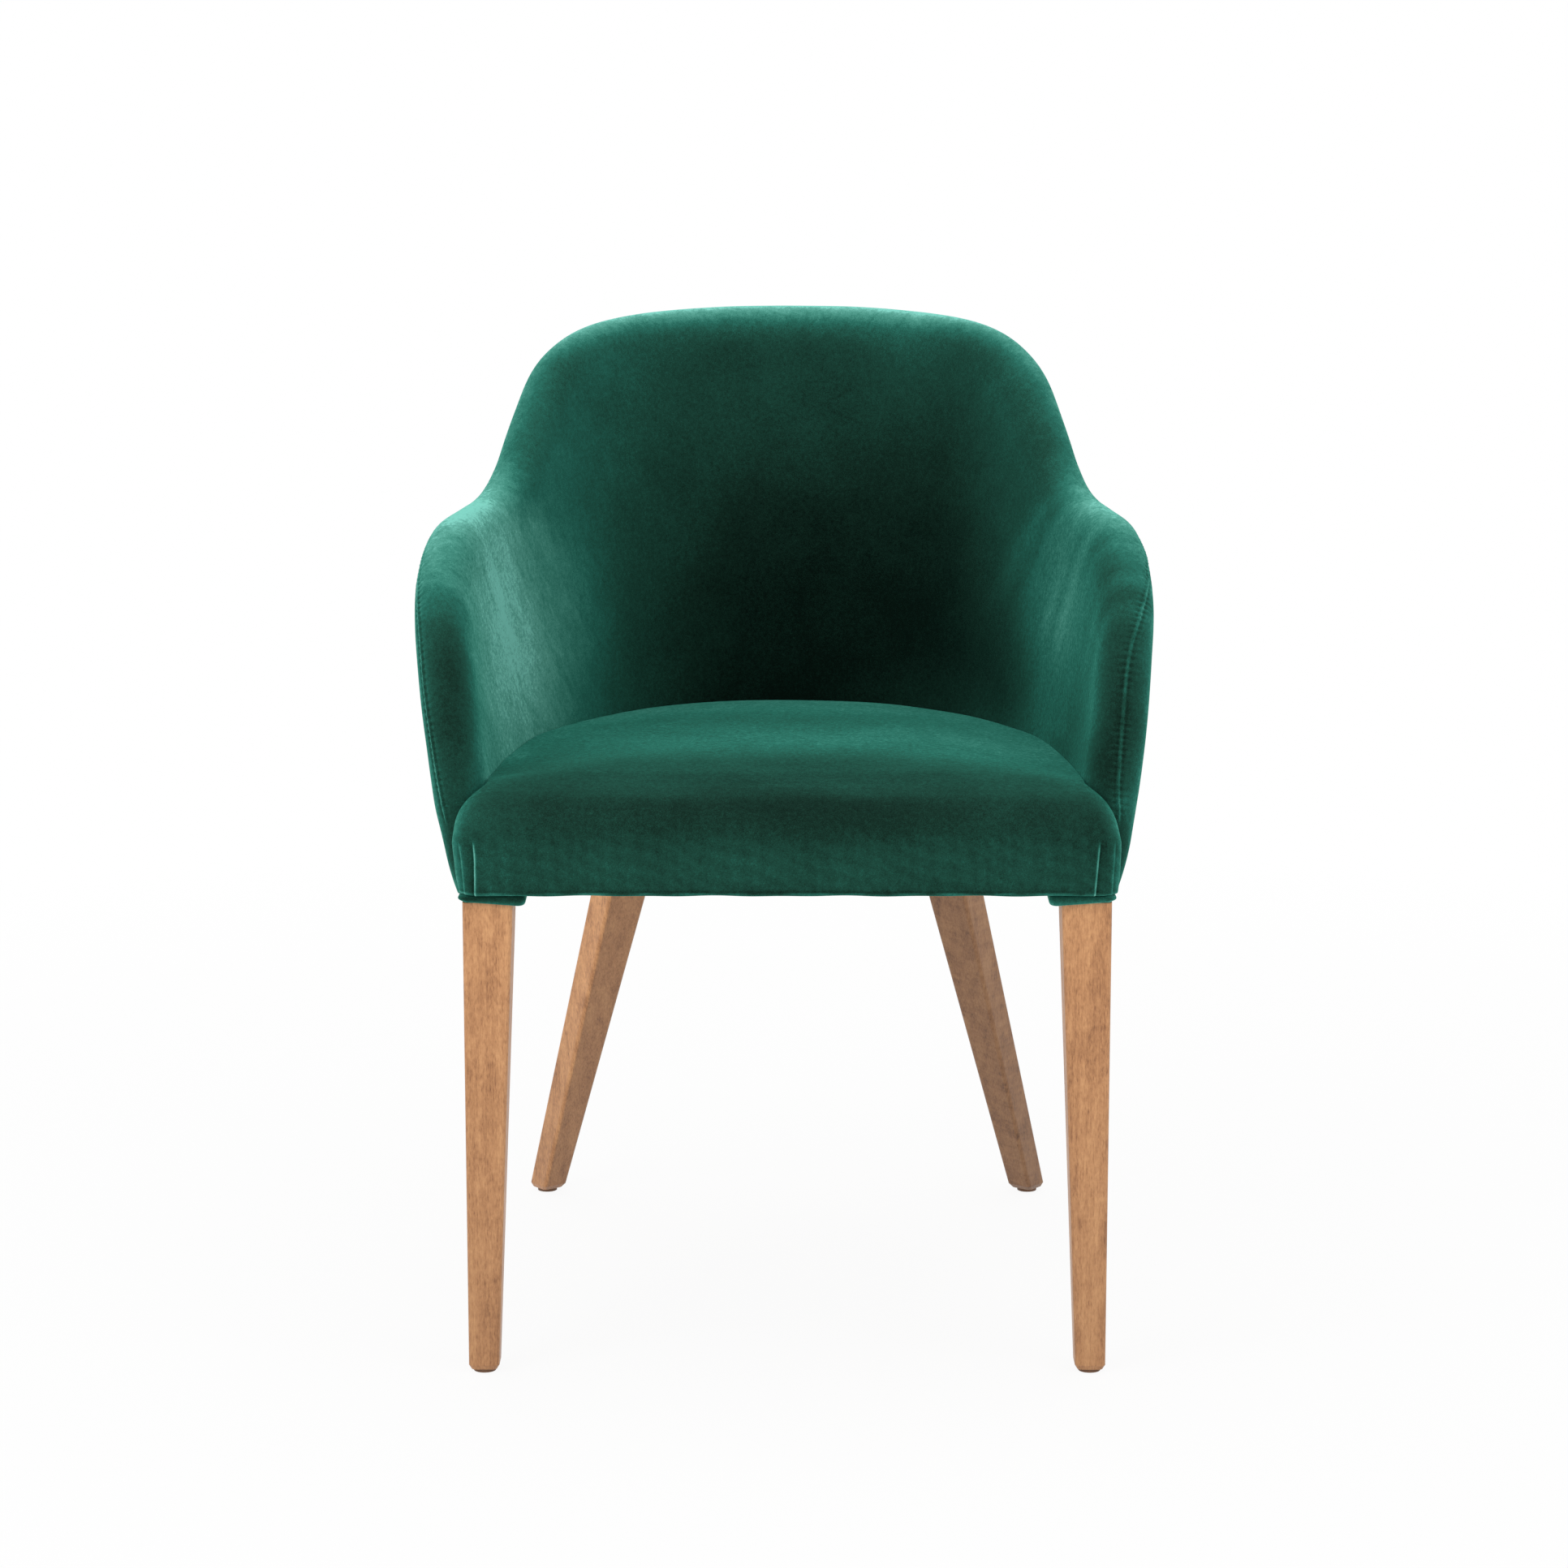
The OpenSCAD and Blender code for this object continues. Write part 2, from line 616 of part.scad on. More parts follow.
// Side edge of the seat's top: round the front of the arm, then along its inner face
function side_place(t, turn = 0, v = seat_v) =
  let (phi = 90 * (1 - t / arm_turn_share), middle = shell_point(90, seat_z))
  let (way = (t - arm_turn_share) / (1 - arm_turn_share))
  t < arm_turn_share ? [middle[0] + v * cos(phi), middle[1] + v * sin(phi), seat_z]
                     : beside(90 - (90 - corner_angle - turn) * way, seat_z, v);
function back_place(u, turn = 0, v = seat_v) = beside(u * (corner_angle - turn), seat_z, v);
function mirrored(q) = [-q[0], q[1], q[2]];
// Blend of the four edges of the top of the seat
function top_place(u, t) =
  let (w = (1 + u) / 2)
  let (right = side_place(t), left = mirrored(side_place(t)))
  let (front_r = side_place(0), back_r = side_place(1))
  let (front = [front_r[0] * u, front_r[1], front_r[2]])
  let (back = back_place(u))
  (1 - t) * front + t * back + (1 - w) * left + w * right
  - (1 - w) * (1 - t) * mirrored(front_r) - w * (1 - t) * front_r
  - (1 - w) * t * mirrored(back_r) - w * t * back_r;
function top_point(u, t) =
  let (q = top_place(u, t))
  [q[0], q[1], seat_height(q[0], q[1], u, t)];
function wall_column(t, side) =
  let (draw = wall_draw * min(1, t / arm_turn_share))
  let (q = side_place(t, wall_turn / 2, seat_v - draw)) [side * q[0], q[1], wall_z];
function with_walls(first, row, last) = concat([first], row, [last]);
tuck_in_share = 0.7;
tuck_in = rail_setback * tuck_in_share;
band_shares = [0, 0.5, 1];
foot_half = nose_half - band_draw;
seat_rows = concat(
  [with_walls(
    [tuck_in - foot_half, nose_back, body_bottom],
    [for (u = column_shares) [u * (foot_half - tuck_in), nose_front(0) + tuck_in, body_bottom]],
    [foot_half - tuck_in, nose_back, body_bottom])],
  [for (s = band_shares) let (z = body_bottom + s * band_h, half = nose_half - band_draw * pow(1 - s, 2))
    with_walls(
      [-half, nose_back, z],
      [for (u = column_shares) [u * half, nose_front(u * nose_half), z]],
      [half, nose_back, z])],
  [for (a = roll_angles)
    let (edge_y = nose_front(nose_half) + (nose_end - nose_front(nose_half)) * (1 - cos(a)))
    let (z_end = seat_height(nose_half, edge_y, 1, 0) - gap)
    with_walls(
      [-nose_half, nose_back, z_end],
      [for (u = column_shares)
        let (x = u * nose_half, y = nose_front(x) + (nose_end - nose_front(x)) * (1 - cos(a)))
        [x, y, seat_height(x, y, u, 0)]],
      [nose_half, nose_back, z_end])],
  [for (t = top_shares)
    with_walls(wall_column(t, -1), [for (u = column_shares) top_point(u, t)], wall_column(t, 1))],
  [with_walls(
    let (q = back_place(-1, 0, seat_v - wall_draw)) [q[0], q[1], wall_z],
    [for (u = column_shares) let (q = back_place(u, wall_turn, seat_v - wall_draw)) [q[0], q[1], wall_z]],
    let (q = back_place(1, 0, seat_v - wall_draw)) [q[0], q[1], wall_z])]
);
function grid_normal(g, i, j) =
  let (m = len(g) - 1, n = len(g[0]) - 1)
  unit(cross(g[i][min(n, j + 1)] - g[i][max(0, j - 1)], g[min(m, i + 1)][j] - g[max(0, i - 1)][j]));
function inset(g, d) =
  [for (i = [0 : len(g) - 1]) [for (j = [0 : len(g[0]) - 1]) g[i][j] - d * grid_normal(g, i, j)]];

module seat_cover() {
  color(velvet) grid_slab(seat_rows, inset(seat_rows, velvet_t));
}

// Underside of the foam: in front of and beside the front rail, then over the felt
under_share = 0.95;
band_rows = len(band_shares);
roll_rows = len(roll_angles);
function under_point(q, whole_x, i, wall) =
  let (roll = i - band_rows)
  let (x = whole_x * (rail_half + gap) / nose_half)
  i < band_rows ? [x, wall ? nose_back : rail_front - gap, max(q[2], body_bottom + nose_step)]
  : roll < roll_rows && wall
    ? [x, nose_back, nose_low + (deck_z - nose_low) * (roll + 1) / (roll_rows + 1)]
  : roll < roll_rows
    ? [x, rail_front - gap + (nose_end - rail_front) * roll / (roll_rows - 1), deck_z]
  : wall ? [q[0], q[1], deck_z]
  : [q[0] * under_share, q[1] * under_share, deck_z];
module seat_foam() {
  skin = inset(seat_rows, nose_step);
  last = len(skin) - 1;
  outer = [for (i = [1 : last]) i == 1
    ? [for (q = skin[i]) [q[0], q[1], body_bottom + nose_step]] : skin[i]];
  under = [for (i = [1 : last]) [for (j = [0 : len(skin[i]) - 1])
    under_point(outer[i - 1][j], seat_rows[max(i, band_rows)][j][0], i - 1,
                j == 0 || j == len(skin[i]) - 1 || i == last)]];
  color(foam_yellow) grid_slab(outer, under);
}

// Dust cover under the frame, with openings for the rear legs
dust_z = rail_z - gap - dust_t;
dust_front = rail_back - rail_t / 2;
module dust_cover() {
  color(web_black) difference() {
    translate([0, 0, dust_z]) linear_extrude(dust_t)
      polygon(plan_outline(rail_z, rail_v - rail_inset, dust_front));
    for (side = [0, 1]) mirror([side, 0, 0]) {
      rear_leg_block(gap);
      translate([pad_x - gap, dust_front - over, dust_z - over])
        cube([pad_w, pad_y + pad_d + gap - dust_front + over, dust_t + 2 * over]);
    }
    dust_staple_set();
  }
}
dust_staple_angles = [-80, -62, -46, -8, 8, 46, 62, 80];
module dust_staple_set() {
  for (angle = dust_staple_angles)
    at_shell(angle, dust_z, rail_v - rail_inset - staple_w / 2) rotate([180, 0, 90]) staple();
}
module dust_cover_staples() {
  color(steel) dust_staple_set();
}

// Legs
rear_leg_top = rail_z - gap;
front_leg_z = body_bottom - gap - pad_t;
rear_top = beside(rear_leg_angle, rail_z, rail_v - rear_rail_t / 2 + rear_leg_out);
splay = atan2(rear_splay_x, rear_splay_y);
// Square or oblong section with rounded edges, centred on the origin
module leg_section(w, d, z) {
  translate([0, 0, z]) linear_extrude(gap)
    offset(r = leg_round, $fn = 32) square([w - 2 * leg_round, d - 2 * leg_round], center = true);
}
module front_leg() {
  out_x = nose_half - leg_inset;
  face_y = front_y + leg_setback;
  grow_share = foot_chamfer / (front_leg_z - glide_t);
  near_w = front_leg_foot + (front_leg_top - front_leg_foot) * grow_share;
  near_d = front_leg_foot + (front_leg_top_d - front_leg_foot) * grow_share;
  difference() {
    hull() {
      translate([out_x - front_leg_top / 2, face_y + front_leg_top_d / 2, 0])
        leg_section(front_leg_top, front_leg_top_d, front_leg_z - gap);
      translate([out_x - near_w / 2, face_y + near_d / 2, 0])
        leg_section(near_w, near_d, glide_t + foot_chamfer);
      translate([out_x - front_leg_foot / 2, face_y + front_leg_foot / 2, 0])
        leg_section(front_leg_foot - foot_chamfer, front_leg_foot - foot_chamfer, glide_t);
    }
    leg_bolt_set();
    nail_set();
  }
}
module front_leg_right() {
  color(beech) front_leg();
}
module front_leg_left() {
  color(beech) mirror([1, 0, 0]) front_leg();
}
// Sideways and backward place of a rear leg's middle at a height
function rear_leg_at(z) =
  let (s = 1 - z / rear_leg_top)
  [rear_top[0] + s * rear_splay_x, rear_top[1] + s * rear_splay_y, 0];
module rear_leg_block(grow = 0) {
  grow_share = (glide_t + foot_chamfer) / rear_leg_top;
  near_w = rear_leg_foot + (rear_leg_top_w - rear_leg_foot) * grow_share;
  near_t = rear_leg_foot + (rear_leg_top_t - rear_leg_foot) * grow_share;
  hull() {
    translate(rear_leg_at(rear_leg_top)) rotate([0, 0, -splay])
      leg_section(rear_leg_top_w + 2 * grow, rear_leg_top_t + 2 * grow, rear_leg_top - gap);
    translate(rear_leg_at(glide_t + foot_chamfer)) rotate([0, 0, -splay])
      leg_section(near_w + 2 * grow, near_t + 2 * grow, glide_t + foot_chamfer);
    translate(rear_leg_at(glide_t)) rotate([0, 0, -splay])
      leg_section(rear_leg_foot - foot_chamfer, rear_leg_foot - foot_chamfer, glide_t);
  }
}
module rear_leg() {
  difference() {
    rear_leg_block();
    leg_bolt_set();
    nail_set();
  }
}
module rear_leg_right() {
  color(beech) rear_leg();
}
module rear_leg_left() {
  color(beech) mirror([1, 0, 0]) rear_leg();
}

// Covered pads between the front legs and the seat
pad_w = front_leg_top + pad_out + pad_in;
pad_d = front_leg_top_d + leg_setback / 2;
pad_x = nose_half - leg_inset + pad_out - pad_w;
pad_y = front_y + leg_setback / 2;
module front_pad() {
  difference() {
    translate([pad_x + pad_w / 2, pad_y + pad_d / 2, front_leg_z + gap]) linear_extrude(pad_t - gap)
      offset(r = leg_round, $fn = 32)
        square([pad_w - 2 * leg_round, pad_d - 2 * leg_round], center = true);
    leg_bolt_set();
  }
}
module front_pad_right() {
  color(velvet_dark) front_pad();
}
module front_pad_left() {
  color(velvet_dark) mirror([1, 0, 0]) front_pad();
}

// Hanger bolts stand in the legs and end in wells in the rails, under a washer and a nut
well_z = rail_top - nut_h - washer_t - bolt_d / 2;
rear_bolt = rear_leg_at(rear_leg_top);
leg_bolt_places = [
  [-bolt_x, bolt_y, front_leg_z], [bolt_x, bolt_y, front_leg_z],
  [-rear_bolt[0], rear_bolt[1], rear_leg_top], [rear_bolt[0], rear_bolt[1], rear_leg_top]
];
module leg_bolt_set() {
  for (q = leg_bolt_places)
    translate([q[0], q[1], q[2] - bolt_grip])
      cylinder(d = bolt_d, h = rail_top - bolt_d / 4 - q[2] + bolt_grip, $fn = 48);
}
module leg_bolt_wells() {
  leg_bolt_set();
  for (q = leg_bolt_places)
    translate([q[0], q[1], well_z]) cylinder(d = washer_d + gap, h = rail_top - well_z + over, $fn = 48);
}
module leg_bolts() {
  color(steel) leg_bolt_set();
}
module leg_washers() {
  color(steel) difference() {
    for (q = leg_bolt_places)
      translate([q[0], q[1], well_z]) cylinder(d = washer_d, h = washer_t, $fn = 48);
    leg_bolt_set();
  }
}
module leg_nuts() {
  color(steel) difference() {
    for (q = leg_bolt_places)
      translate([q[0], q[1], well_z + washer_t]) cylinder(d = nut_w, h = nut_h, $fn = 6);
    leg_bolt_set();
  }
}

// Glides, each held by a nail
nail_d = screw_d / 2;
nail_l = 4 * glide_t;
foot_places = [
  [bolt_foot_x(), bolt_foot_y()], [-bolt_foot_x(), bolt_foot_y()],
  [rear_leg_at(glide_t)[0], rear_leg_at(glide_t)[1]], [-rear_leg_at(glide_t)[0], rear_leg_at(glide_t)[1]]
];
function bolt_foot_x() = nose_half - leg_inset - front_leg_foot / 2;
function bolt_foot_y() = front_y + leg_setback + front_leg_foot / 2;
module nail_set() {
  for (q = foot_places) translate([q[0], q[1], glide_t / 2]) {
    cylinder(d = nail_d, h = nail_l, $fn = 24);
    cylinder(d = 3 * nail_d, h = glide_t / 4, $fn = 24);
  }
}
module glide_nails() {
  color(steel) nail_set();
}
module leg_glides() {
  color(nylon) difference() {
    for (q = foot_places) translate([q[0], q[1], 0]) cylinder(d = glide_d, h = glide_t, $fn = 48);
    nail_set();
    for (q = foot_places) translate([q[0], q[1], -over])
      cylinder(d = 3 * nail_d, h = glide_t / 2 + over, $fn = 24);
  }
}

inside_cover();
outside_cover();
inside_foam();
outside_padding();
shell_core();
seat_cover();
seat_foam();
seat_felt();
webbing_cross();
webbing_long();
webbing_staples();
front_rail();
rear_rail();
side_rail_left();
side_rail_right();
corner_block_left();
corner_block_right();
block_screws();
frame_dowels();
shell_screws();
dust_cover();
dust_cover_staples();
front_pad_left();
front_pad_right();
front_leg_left();
front_leg_right();
rear_leg_left();
rear_leg_right();
leg_bolts();
leg_washers();
leg_nuts();
leg_glides();
glide_nails();
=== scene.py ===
import json
import math

import bmesh
import bpy
import numpy as np
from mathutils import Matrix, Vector
from mathutils.kdtree import KDTree


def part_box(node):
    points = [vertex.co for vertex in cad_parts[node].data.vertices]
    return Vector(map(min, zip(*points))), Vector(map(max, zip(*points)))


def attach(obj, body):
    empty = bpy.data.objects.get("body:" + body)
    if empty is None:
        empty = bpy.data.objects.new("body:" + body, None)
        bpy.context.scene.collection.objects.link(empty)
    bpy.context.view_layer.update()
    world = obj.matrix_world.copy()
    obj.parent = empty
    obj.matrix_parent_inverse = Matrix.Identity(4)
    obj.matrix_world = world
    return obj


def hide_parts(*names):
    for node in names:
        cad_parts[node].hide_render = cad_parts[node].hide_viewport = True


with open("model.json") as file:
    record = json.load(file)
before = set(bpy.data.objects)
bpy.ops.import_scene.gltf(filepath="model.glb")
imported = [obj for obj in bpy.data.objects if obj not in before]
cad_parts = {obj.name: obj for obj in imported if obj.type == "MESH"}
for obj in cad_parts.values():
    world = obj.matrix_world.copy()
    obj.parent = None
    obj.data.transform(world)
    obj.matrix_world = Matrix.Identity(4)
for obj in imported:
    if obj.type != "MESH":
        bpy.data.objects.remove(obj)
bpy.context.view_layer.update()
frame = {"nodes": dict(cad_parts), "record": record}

MM = 0.001
join = np.concatenate

# Sizes of the chair, in metres
OVERALL_DEPTH = 588 * MM
OVERALL_HEIGHT = 829 * MM
ARM_HEIGHT = 672 * MM
ARM_SPAN = 563 * MM
SHELL_T = 44 * MM
BODY_BOTTOM = 394.5 * MM
SHELL_TUCK = 5 * MM
TUCK_H = 41 * MM
VELVET_T = 1.5 * MM
SEAT_FRONT_W = 528 * MM
BAND_DRAW_LEFT, BAND_DRAW_RIGHT = 4.5 * MM, 2.2 * MM
NOSE_DEPTH = 38 * MM
BAND_H = 40.5 * MM
SEAT_EDGE_H = 81 * MM
CROWN_H = 12 * MM
CROWN_SWELL = 4.5 * MM
NOSE_ROUND = 30 * MM
CORNER_ROUND = 16 * MM
ROLL_DEPTH = 79 * MM
CURVE_GAP = 1.3 * MM
GAP = 0.3 * MM
CORE_R = 5 * MM
LAYER_T = SHELL_T / 2 - CORE_R - GAP
DECK_Z = 440.9 * MM
RAIL_SETBACK = 10 * MM

# Steps over which slopes are measured: degrees and metres
STEP_ANGLE, STEP_H = 0.1, 0.1 * MM

# Shape of the shell: a superellipse in plan that widens and leans back with height
R_RIM = SHELL_T / 2
FRONT_Y = -OVERALL_DEPTH / 2
SHELL_Y = FRONT_Y + NOSE_DEPTH + R_RIM
RIM_TOP = OVERALL_HEIGHT - R_RIM
RIM_ARM = ARM_HEIGHT - R_RIM
PLAN_POWER = 2.25
WIDEN_LOW, WIDEN_HIGH, LEAN = 0.145, 0.07, 0.1147
WIDEN_Z = BODY_BOTTOM + (RIM_ARM - BODY_BOTTOM) * 0.883
FOOT_FRONT_ANGLE = 78
FOOT_BLEND = 0.04
STEPS = 26
SKIRT_STEPS = 2
SHOULDER = 30 * MM
PAD_FOOT_Z = BODY_BOTTOM + 51.6 * MM
PAD_FRONT_Z = BODY_BOTTOM + 65.5 * MM
PAD_START = 0.72
RIM_PAD, RIM_BLUR, RIM_PASSES = 60, 7, 2
ARM_STEPS = 400

# Rim: plan angle from the back's middle, and share of the height from foot to arm or arm to back
ARM_RIM = [
    (90, 0), (89.3, 0.14), (88, 0.335), (85.5, 0.53), (82.5, 0.655), (79, 0.757),
    (75.3, 0.835), (71.4, 0.886), (67.8, 0.931), (63.1, 0.971), (59.4, 1),
]
BACK_RIM = [
    (52, 0.018), (45.4, 0.046), (41.5, 0.092), (38.7, 0.161), (35.7, 0.284), (34, 0.395),
    (32.4, 0.497), (30.8, 0.602), (29.4, 0.697), (27.7, 0.776), (26, 0.828), (24.5, 0.868),
    (23, 0.898), (21, 0.926), (18.5, 0.948), (15, 0.969), (11, 0.984), (6, 0.996), (0, 1),
]


def half_w(z):
    widen = np.where(z > WIDEN_Z, WIDEN_HIGH, WIDEN_LOW) * (z - WIDEN_Z)
    tuck = SHELL_TUCK * (np.clip(BODY_BOTTOM + TUCK_H - z, 0, None) / TUCK_H) ** 2
    return ARM_SPAN / 2 + widen - tuck


def half_d(z):
    return OVERALL_DEPTH / 2 - R_RIM - LEAN * (RIM_TOP - z) - SHELL_Y


def points(x, y, z):
    return np.stack(np.broadcast_arrays(x, y, z), -1)


def shell_point(angle, z):
    """Points of the shell's mid surface at plan angles in degrees and heights."""
    angle, z = np.broadcast_arrays(np.radians(angle), z)
    s, c = np.sin(angle), np.cos(angle)
    r = (np.abs(s) / half_w(z)) ** PLAN_POWER + (np.abs(c) / half_d(z)) ** PLAN_POWER
    r = r ** (-1 / PLAN_POWER)
    return points(r * s, SHELL_Y + r * c, z)


def unit(v):
    return v / np.linalg.norm(v, axis=-1, keepdims=True)


def round_step(angle, z):
    return shell_point(angle + STEP_ANGLE, z) - shell_point(angle - STEP_ANGLE, z)


def level_normal(angle, z):
    d = round_step(angle, z)
    return unit(points(-d[..., 1], d[..., 0], 0))


def full_normal(angle, z):
    up = shell_point(angle, z + STEP_H) - shell_point(angle, z - STEP_H)
    return unit(np.cross(up, round_step(angle, z)))


def beside(angle, z, v):
    return shell_point(angle, z) + v * level_normal(angle, z)


def shoulder(b):
    """Half thickness on the sitter's side, a long soft shoulder, at a height b past the rim."""
    t = np.clip((b + SHOULDER) / (R_RIM + SHOULDER), 0, 1)
    return R_RIM * np.sqrt(1 - t ** 4)


def smooth_line(values, width):
    """Moving bell-shaped average of evenly spaced values."""
    reach = int(3 * width)
    bell = np.exp(-0.5 * (np.arange(-reach, reach + 1) / width) ** 2)
    return np.convolve(values, bell / bell.sum(), "same")


def run_along(angle, z):
    """Distance along a line of the mid surface from its first point."""
    steps = np.linalg.norm(np.diff(shell_point(angle, z), axis=0), axis=1)
    return join([[0], np.cumsum(steps)])


def smooth_half(values, beyond):
    """Smooths values along half the rim, which go on mirrored past its middle, with a sign."""
    before = 2 * values[0] - values[RIM_PAD:0:-1]
    after = beyond * values[::-1][1:RIM_PAD + 1]
    smooth = smooth_line(join([before, values, after]), RIM_BLUR)
    return smooth[RIM_PAD:RIM_PAD + len(values)]


def rim_curve():
    """Angle and height along half the rim, at even steps of run from the foot to the back."""
    angle = np.array([a for a, _ in ARM_RIM + BACK_RIM], float)
    z = np.array([BODY_BOTTOM + s * (RIM_ARM - BODY_BOTTOM) for _, s in ARM_RIM]
                 + [RIM_ARM + s * (RIM_TOP - RIM_ARM) for _, s in BACK_RIM])
    for _ in range(RIM_PASSES):
        run = run_along(angle, z)
        even = np.arange(0, run[-1], MM)
        angle = smooth_half(np.interp(even, run, angle), -1)
        z = smooth_half(np.interp(even, run, z), 1)
    return run_along(angle, z), angle, z


RIM_RUN, RIM_ANGLE, RIM_Z = rim_curve()
RIM_LENGTH = RIM_RUN[-1]
SKIRT_RUN = np.interp(PAD_FRONT_Z, RIM_Z[:ARM_STEPS], RIM_RUN[:ARM_STEPS])
# A share of the height that is surely below the rim
LOWER = 0.9


class Shell:
    """Columns of the shell, from the right arm's foot over the back to the left arm's foot."""

    def __init__(self, half):
        per_side = len(half) - 1
        self.run = join([half, half[-2::-1]])
        self.side = join([np.ones(per_side), [0], -np.ones(per_side)])
        sign = np.where(self.side == 0, 1, self.side)
        low = SKIRT_STEPS * self.run / SKIRT_RUN
        past = self.run - SKIRT_RUN
        high = SKIRT_STEPS + (STEPS - SKIRT_STEPS) * past / (RIM_LENGTH - SKIRT_RUN)
        place = np.where(self.run < SKIRT_RUN, low, high)
        self.foot = FOOT_FRONT_ANGLE * (1 - place / STEPS) * sign
        self.angle = np.interp(self.run, RIM_RUN, RIM_ANGLE) * sign
        self.z = np.interp(self.run, RIM_RUN, RIM_Z)
        self.rim = shell_point(self.angle, self.z)
        self.across = full_normal(self.angle, self.z)
        along = np.gradient(self.rim, axis=0)
        along[0], along[-1] = (0, 0, -1), (0, 0, 1)
        beyond = unit(np.cross(self.across, unit(along)))
        low = shell_point(self.foot + LOWER * (self.angle - self.foot),
                          BODY_BOTTOM + LOWER * (self.z - BODY_BOTTOM))
        self.beyond = beyond * np.sign((beyond * (self.rim - low)).sum(-1, keepdims=True))
        height = np.maximum(GAP, self.z - BODY_BOTTOM)
        self.pad_share = np.minimum(PAD_START, (PAD_FOOT_Z - BODY_BOTTOM) / height)

    def face(self, shares, v, from_foot=False):
        """Rows over a face: shares run from the padding's foot, or the shell's foot, to the rim."""
        start = (0 * self.pad_share if from_foot else self.pad_share)[:, None]
        p = start + (1 - start) * shares
        angle = self.foot[:, None] + p * (self.angle - self.foot)[:, None]
        z = BODY_BOTTOM + p * (self.z - BODY_BOTTOM)[:, None]
        normal = full_normal(angle, z)
        level = level_normal(angle, z)
        blend = np.clip(p / FOOT_BLEND, 0, 1)[..., None]
        normal = unit(level * (1 - blend) + normal * blend)
        middle = shell_point(angle, z)
        if v < 0:
            below = np.linalg.norm(middle - self.rim[:, None], axis=-1)
            v = -shoulder(-below)[..., None]
        return middle + v * normal, normal

    def bead(self, psi):
        """Rows round the rim, at angles in degrees that are negative on the sitter's side."""
        psi = np.radians(psi)[..., None]
        past, out = R_RIM * np.cos(psi), R_RIM * np.sin(psi)
        direction = np.cos(psi) * self.beyond[:, None] + np.sin(psi) * self.across[:, None]
        out = np.where(psi < 0, -shoulder(past), out)
        rows = self.rim[:, None] + past * self.beyond[:, None] + out * self.across[:, None]
        return rows, direction


# The arms of the chair in the photograph lean a little to one side
SWAY_LEFT, SWAY_RIGHT = -2.6 * MM, -2.3 * MM
SWAY_SIDE = (120 * MM, 240 * MM)
SWAY_TOP = (650 * MM, 700 * MM)
SWAY_LEFT_FOOT = (420 * MM, 460 * MM)
SWAY_RIGHT_FOOT = (500 * MM, 580 * MM)
WAVE_H = 0.25 * MM


def rise(value, low, high):
    """Smooth step from 0 to 1."""
    t = np.clip((value - low) / (high - low), 0, 1)
    return t * t * (3 - 2 * t)


def sway(grid):
    """Moves the arms sideways and leaves the band, the back and the middle where they are."""
    x, z = grid[..., 0], grid[..., 2]
    side = rise(np.abs(x), *SWAY_SIDE)
    top = 1 - rise(z, *SWAY_TOP)
    left = SWAY_LEFT * rise(z, *SWAY_LEFT_FOOT)
    right = SWAY_RIGHT * rise(z, *SWAY_RIGHT_FOOT)
    moved = grid.copy()
    moved[..., 0] += side * top * np.where(x < 0, left, right)
    return moved


def uneven(grid, normal):
    """Slight waviness of hand-laid padding: waves of unrelated lengths, in millimetres."""
    x, y, z = (grid[..., i] / MM for i in range(3))
    wave = (np.sin(x / 23 + 0.7 * np.sin(z / 41)) * np.sin(z / 31 + y / 37 + 1.3)
            + 0.6 * np.sin(y / 17 + z / 19 + 2.1) * np.sin(x / 29 - z / 53))
    return grid + WAVE_H * wave[..., None] * normal


MERGE = 0.01 * MM
HIDDEN_STEP = 8


def add_object(name, data):
    piece = bpy.data.objects.new(name, data)
    bpy.context.scene.collection.objects.link(piece)
    return piece


def coordinates(mesh):
    places = np.empty(len(mesh.vertices) * 3)
    mesh.vertices.foreach_get("co", places)
    return places.reshape(-1, 3)


def build_mesh(name, verts, faces, nap_and_painted_light=None):
    mesh = bpy.data.meshes.new(name)
    mesh.from_pydata([tuple(v) for v in verts], [], faces)
    if nap_and_painted_light is not None:
        layer = mesh.attributes.new("nap_and_painted_light", "FLOAT", "POINT")
        layer.data.foreach_set("value", np.asarray(nap_and_painted_light, np.float32))
    shape = bmesh.new()
    shape.from_mesh(mesh)
    bmesh.ops.remove_doubles(shape, verts=shape.verts, dist=MERGE)
    bmesh.ops.dissolve_degenerate(shape, edges=shape.edges, dist=MERGE)
    shape.to_mesh(mesh)
    shape.free()
    mesh.polygons.foreach_set("use_smooth", np.ones(len(mesh.polygons), bool))
    return add_object(name, mesh)


def grid_faces(rows, cols, start=0, flip=False):
    index = start + np.arange(rows * cols).reshape(rows, cols)
    a, b, c, d = index[:-1, :-1], index[:-1, 1:], index[1:, 1:], index[1:, :-1]
    quads = np.stack([a, b, c, d] if not flip else [a, d, c, b], -1)
    return quads.reshape(-1, 4).tolist()


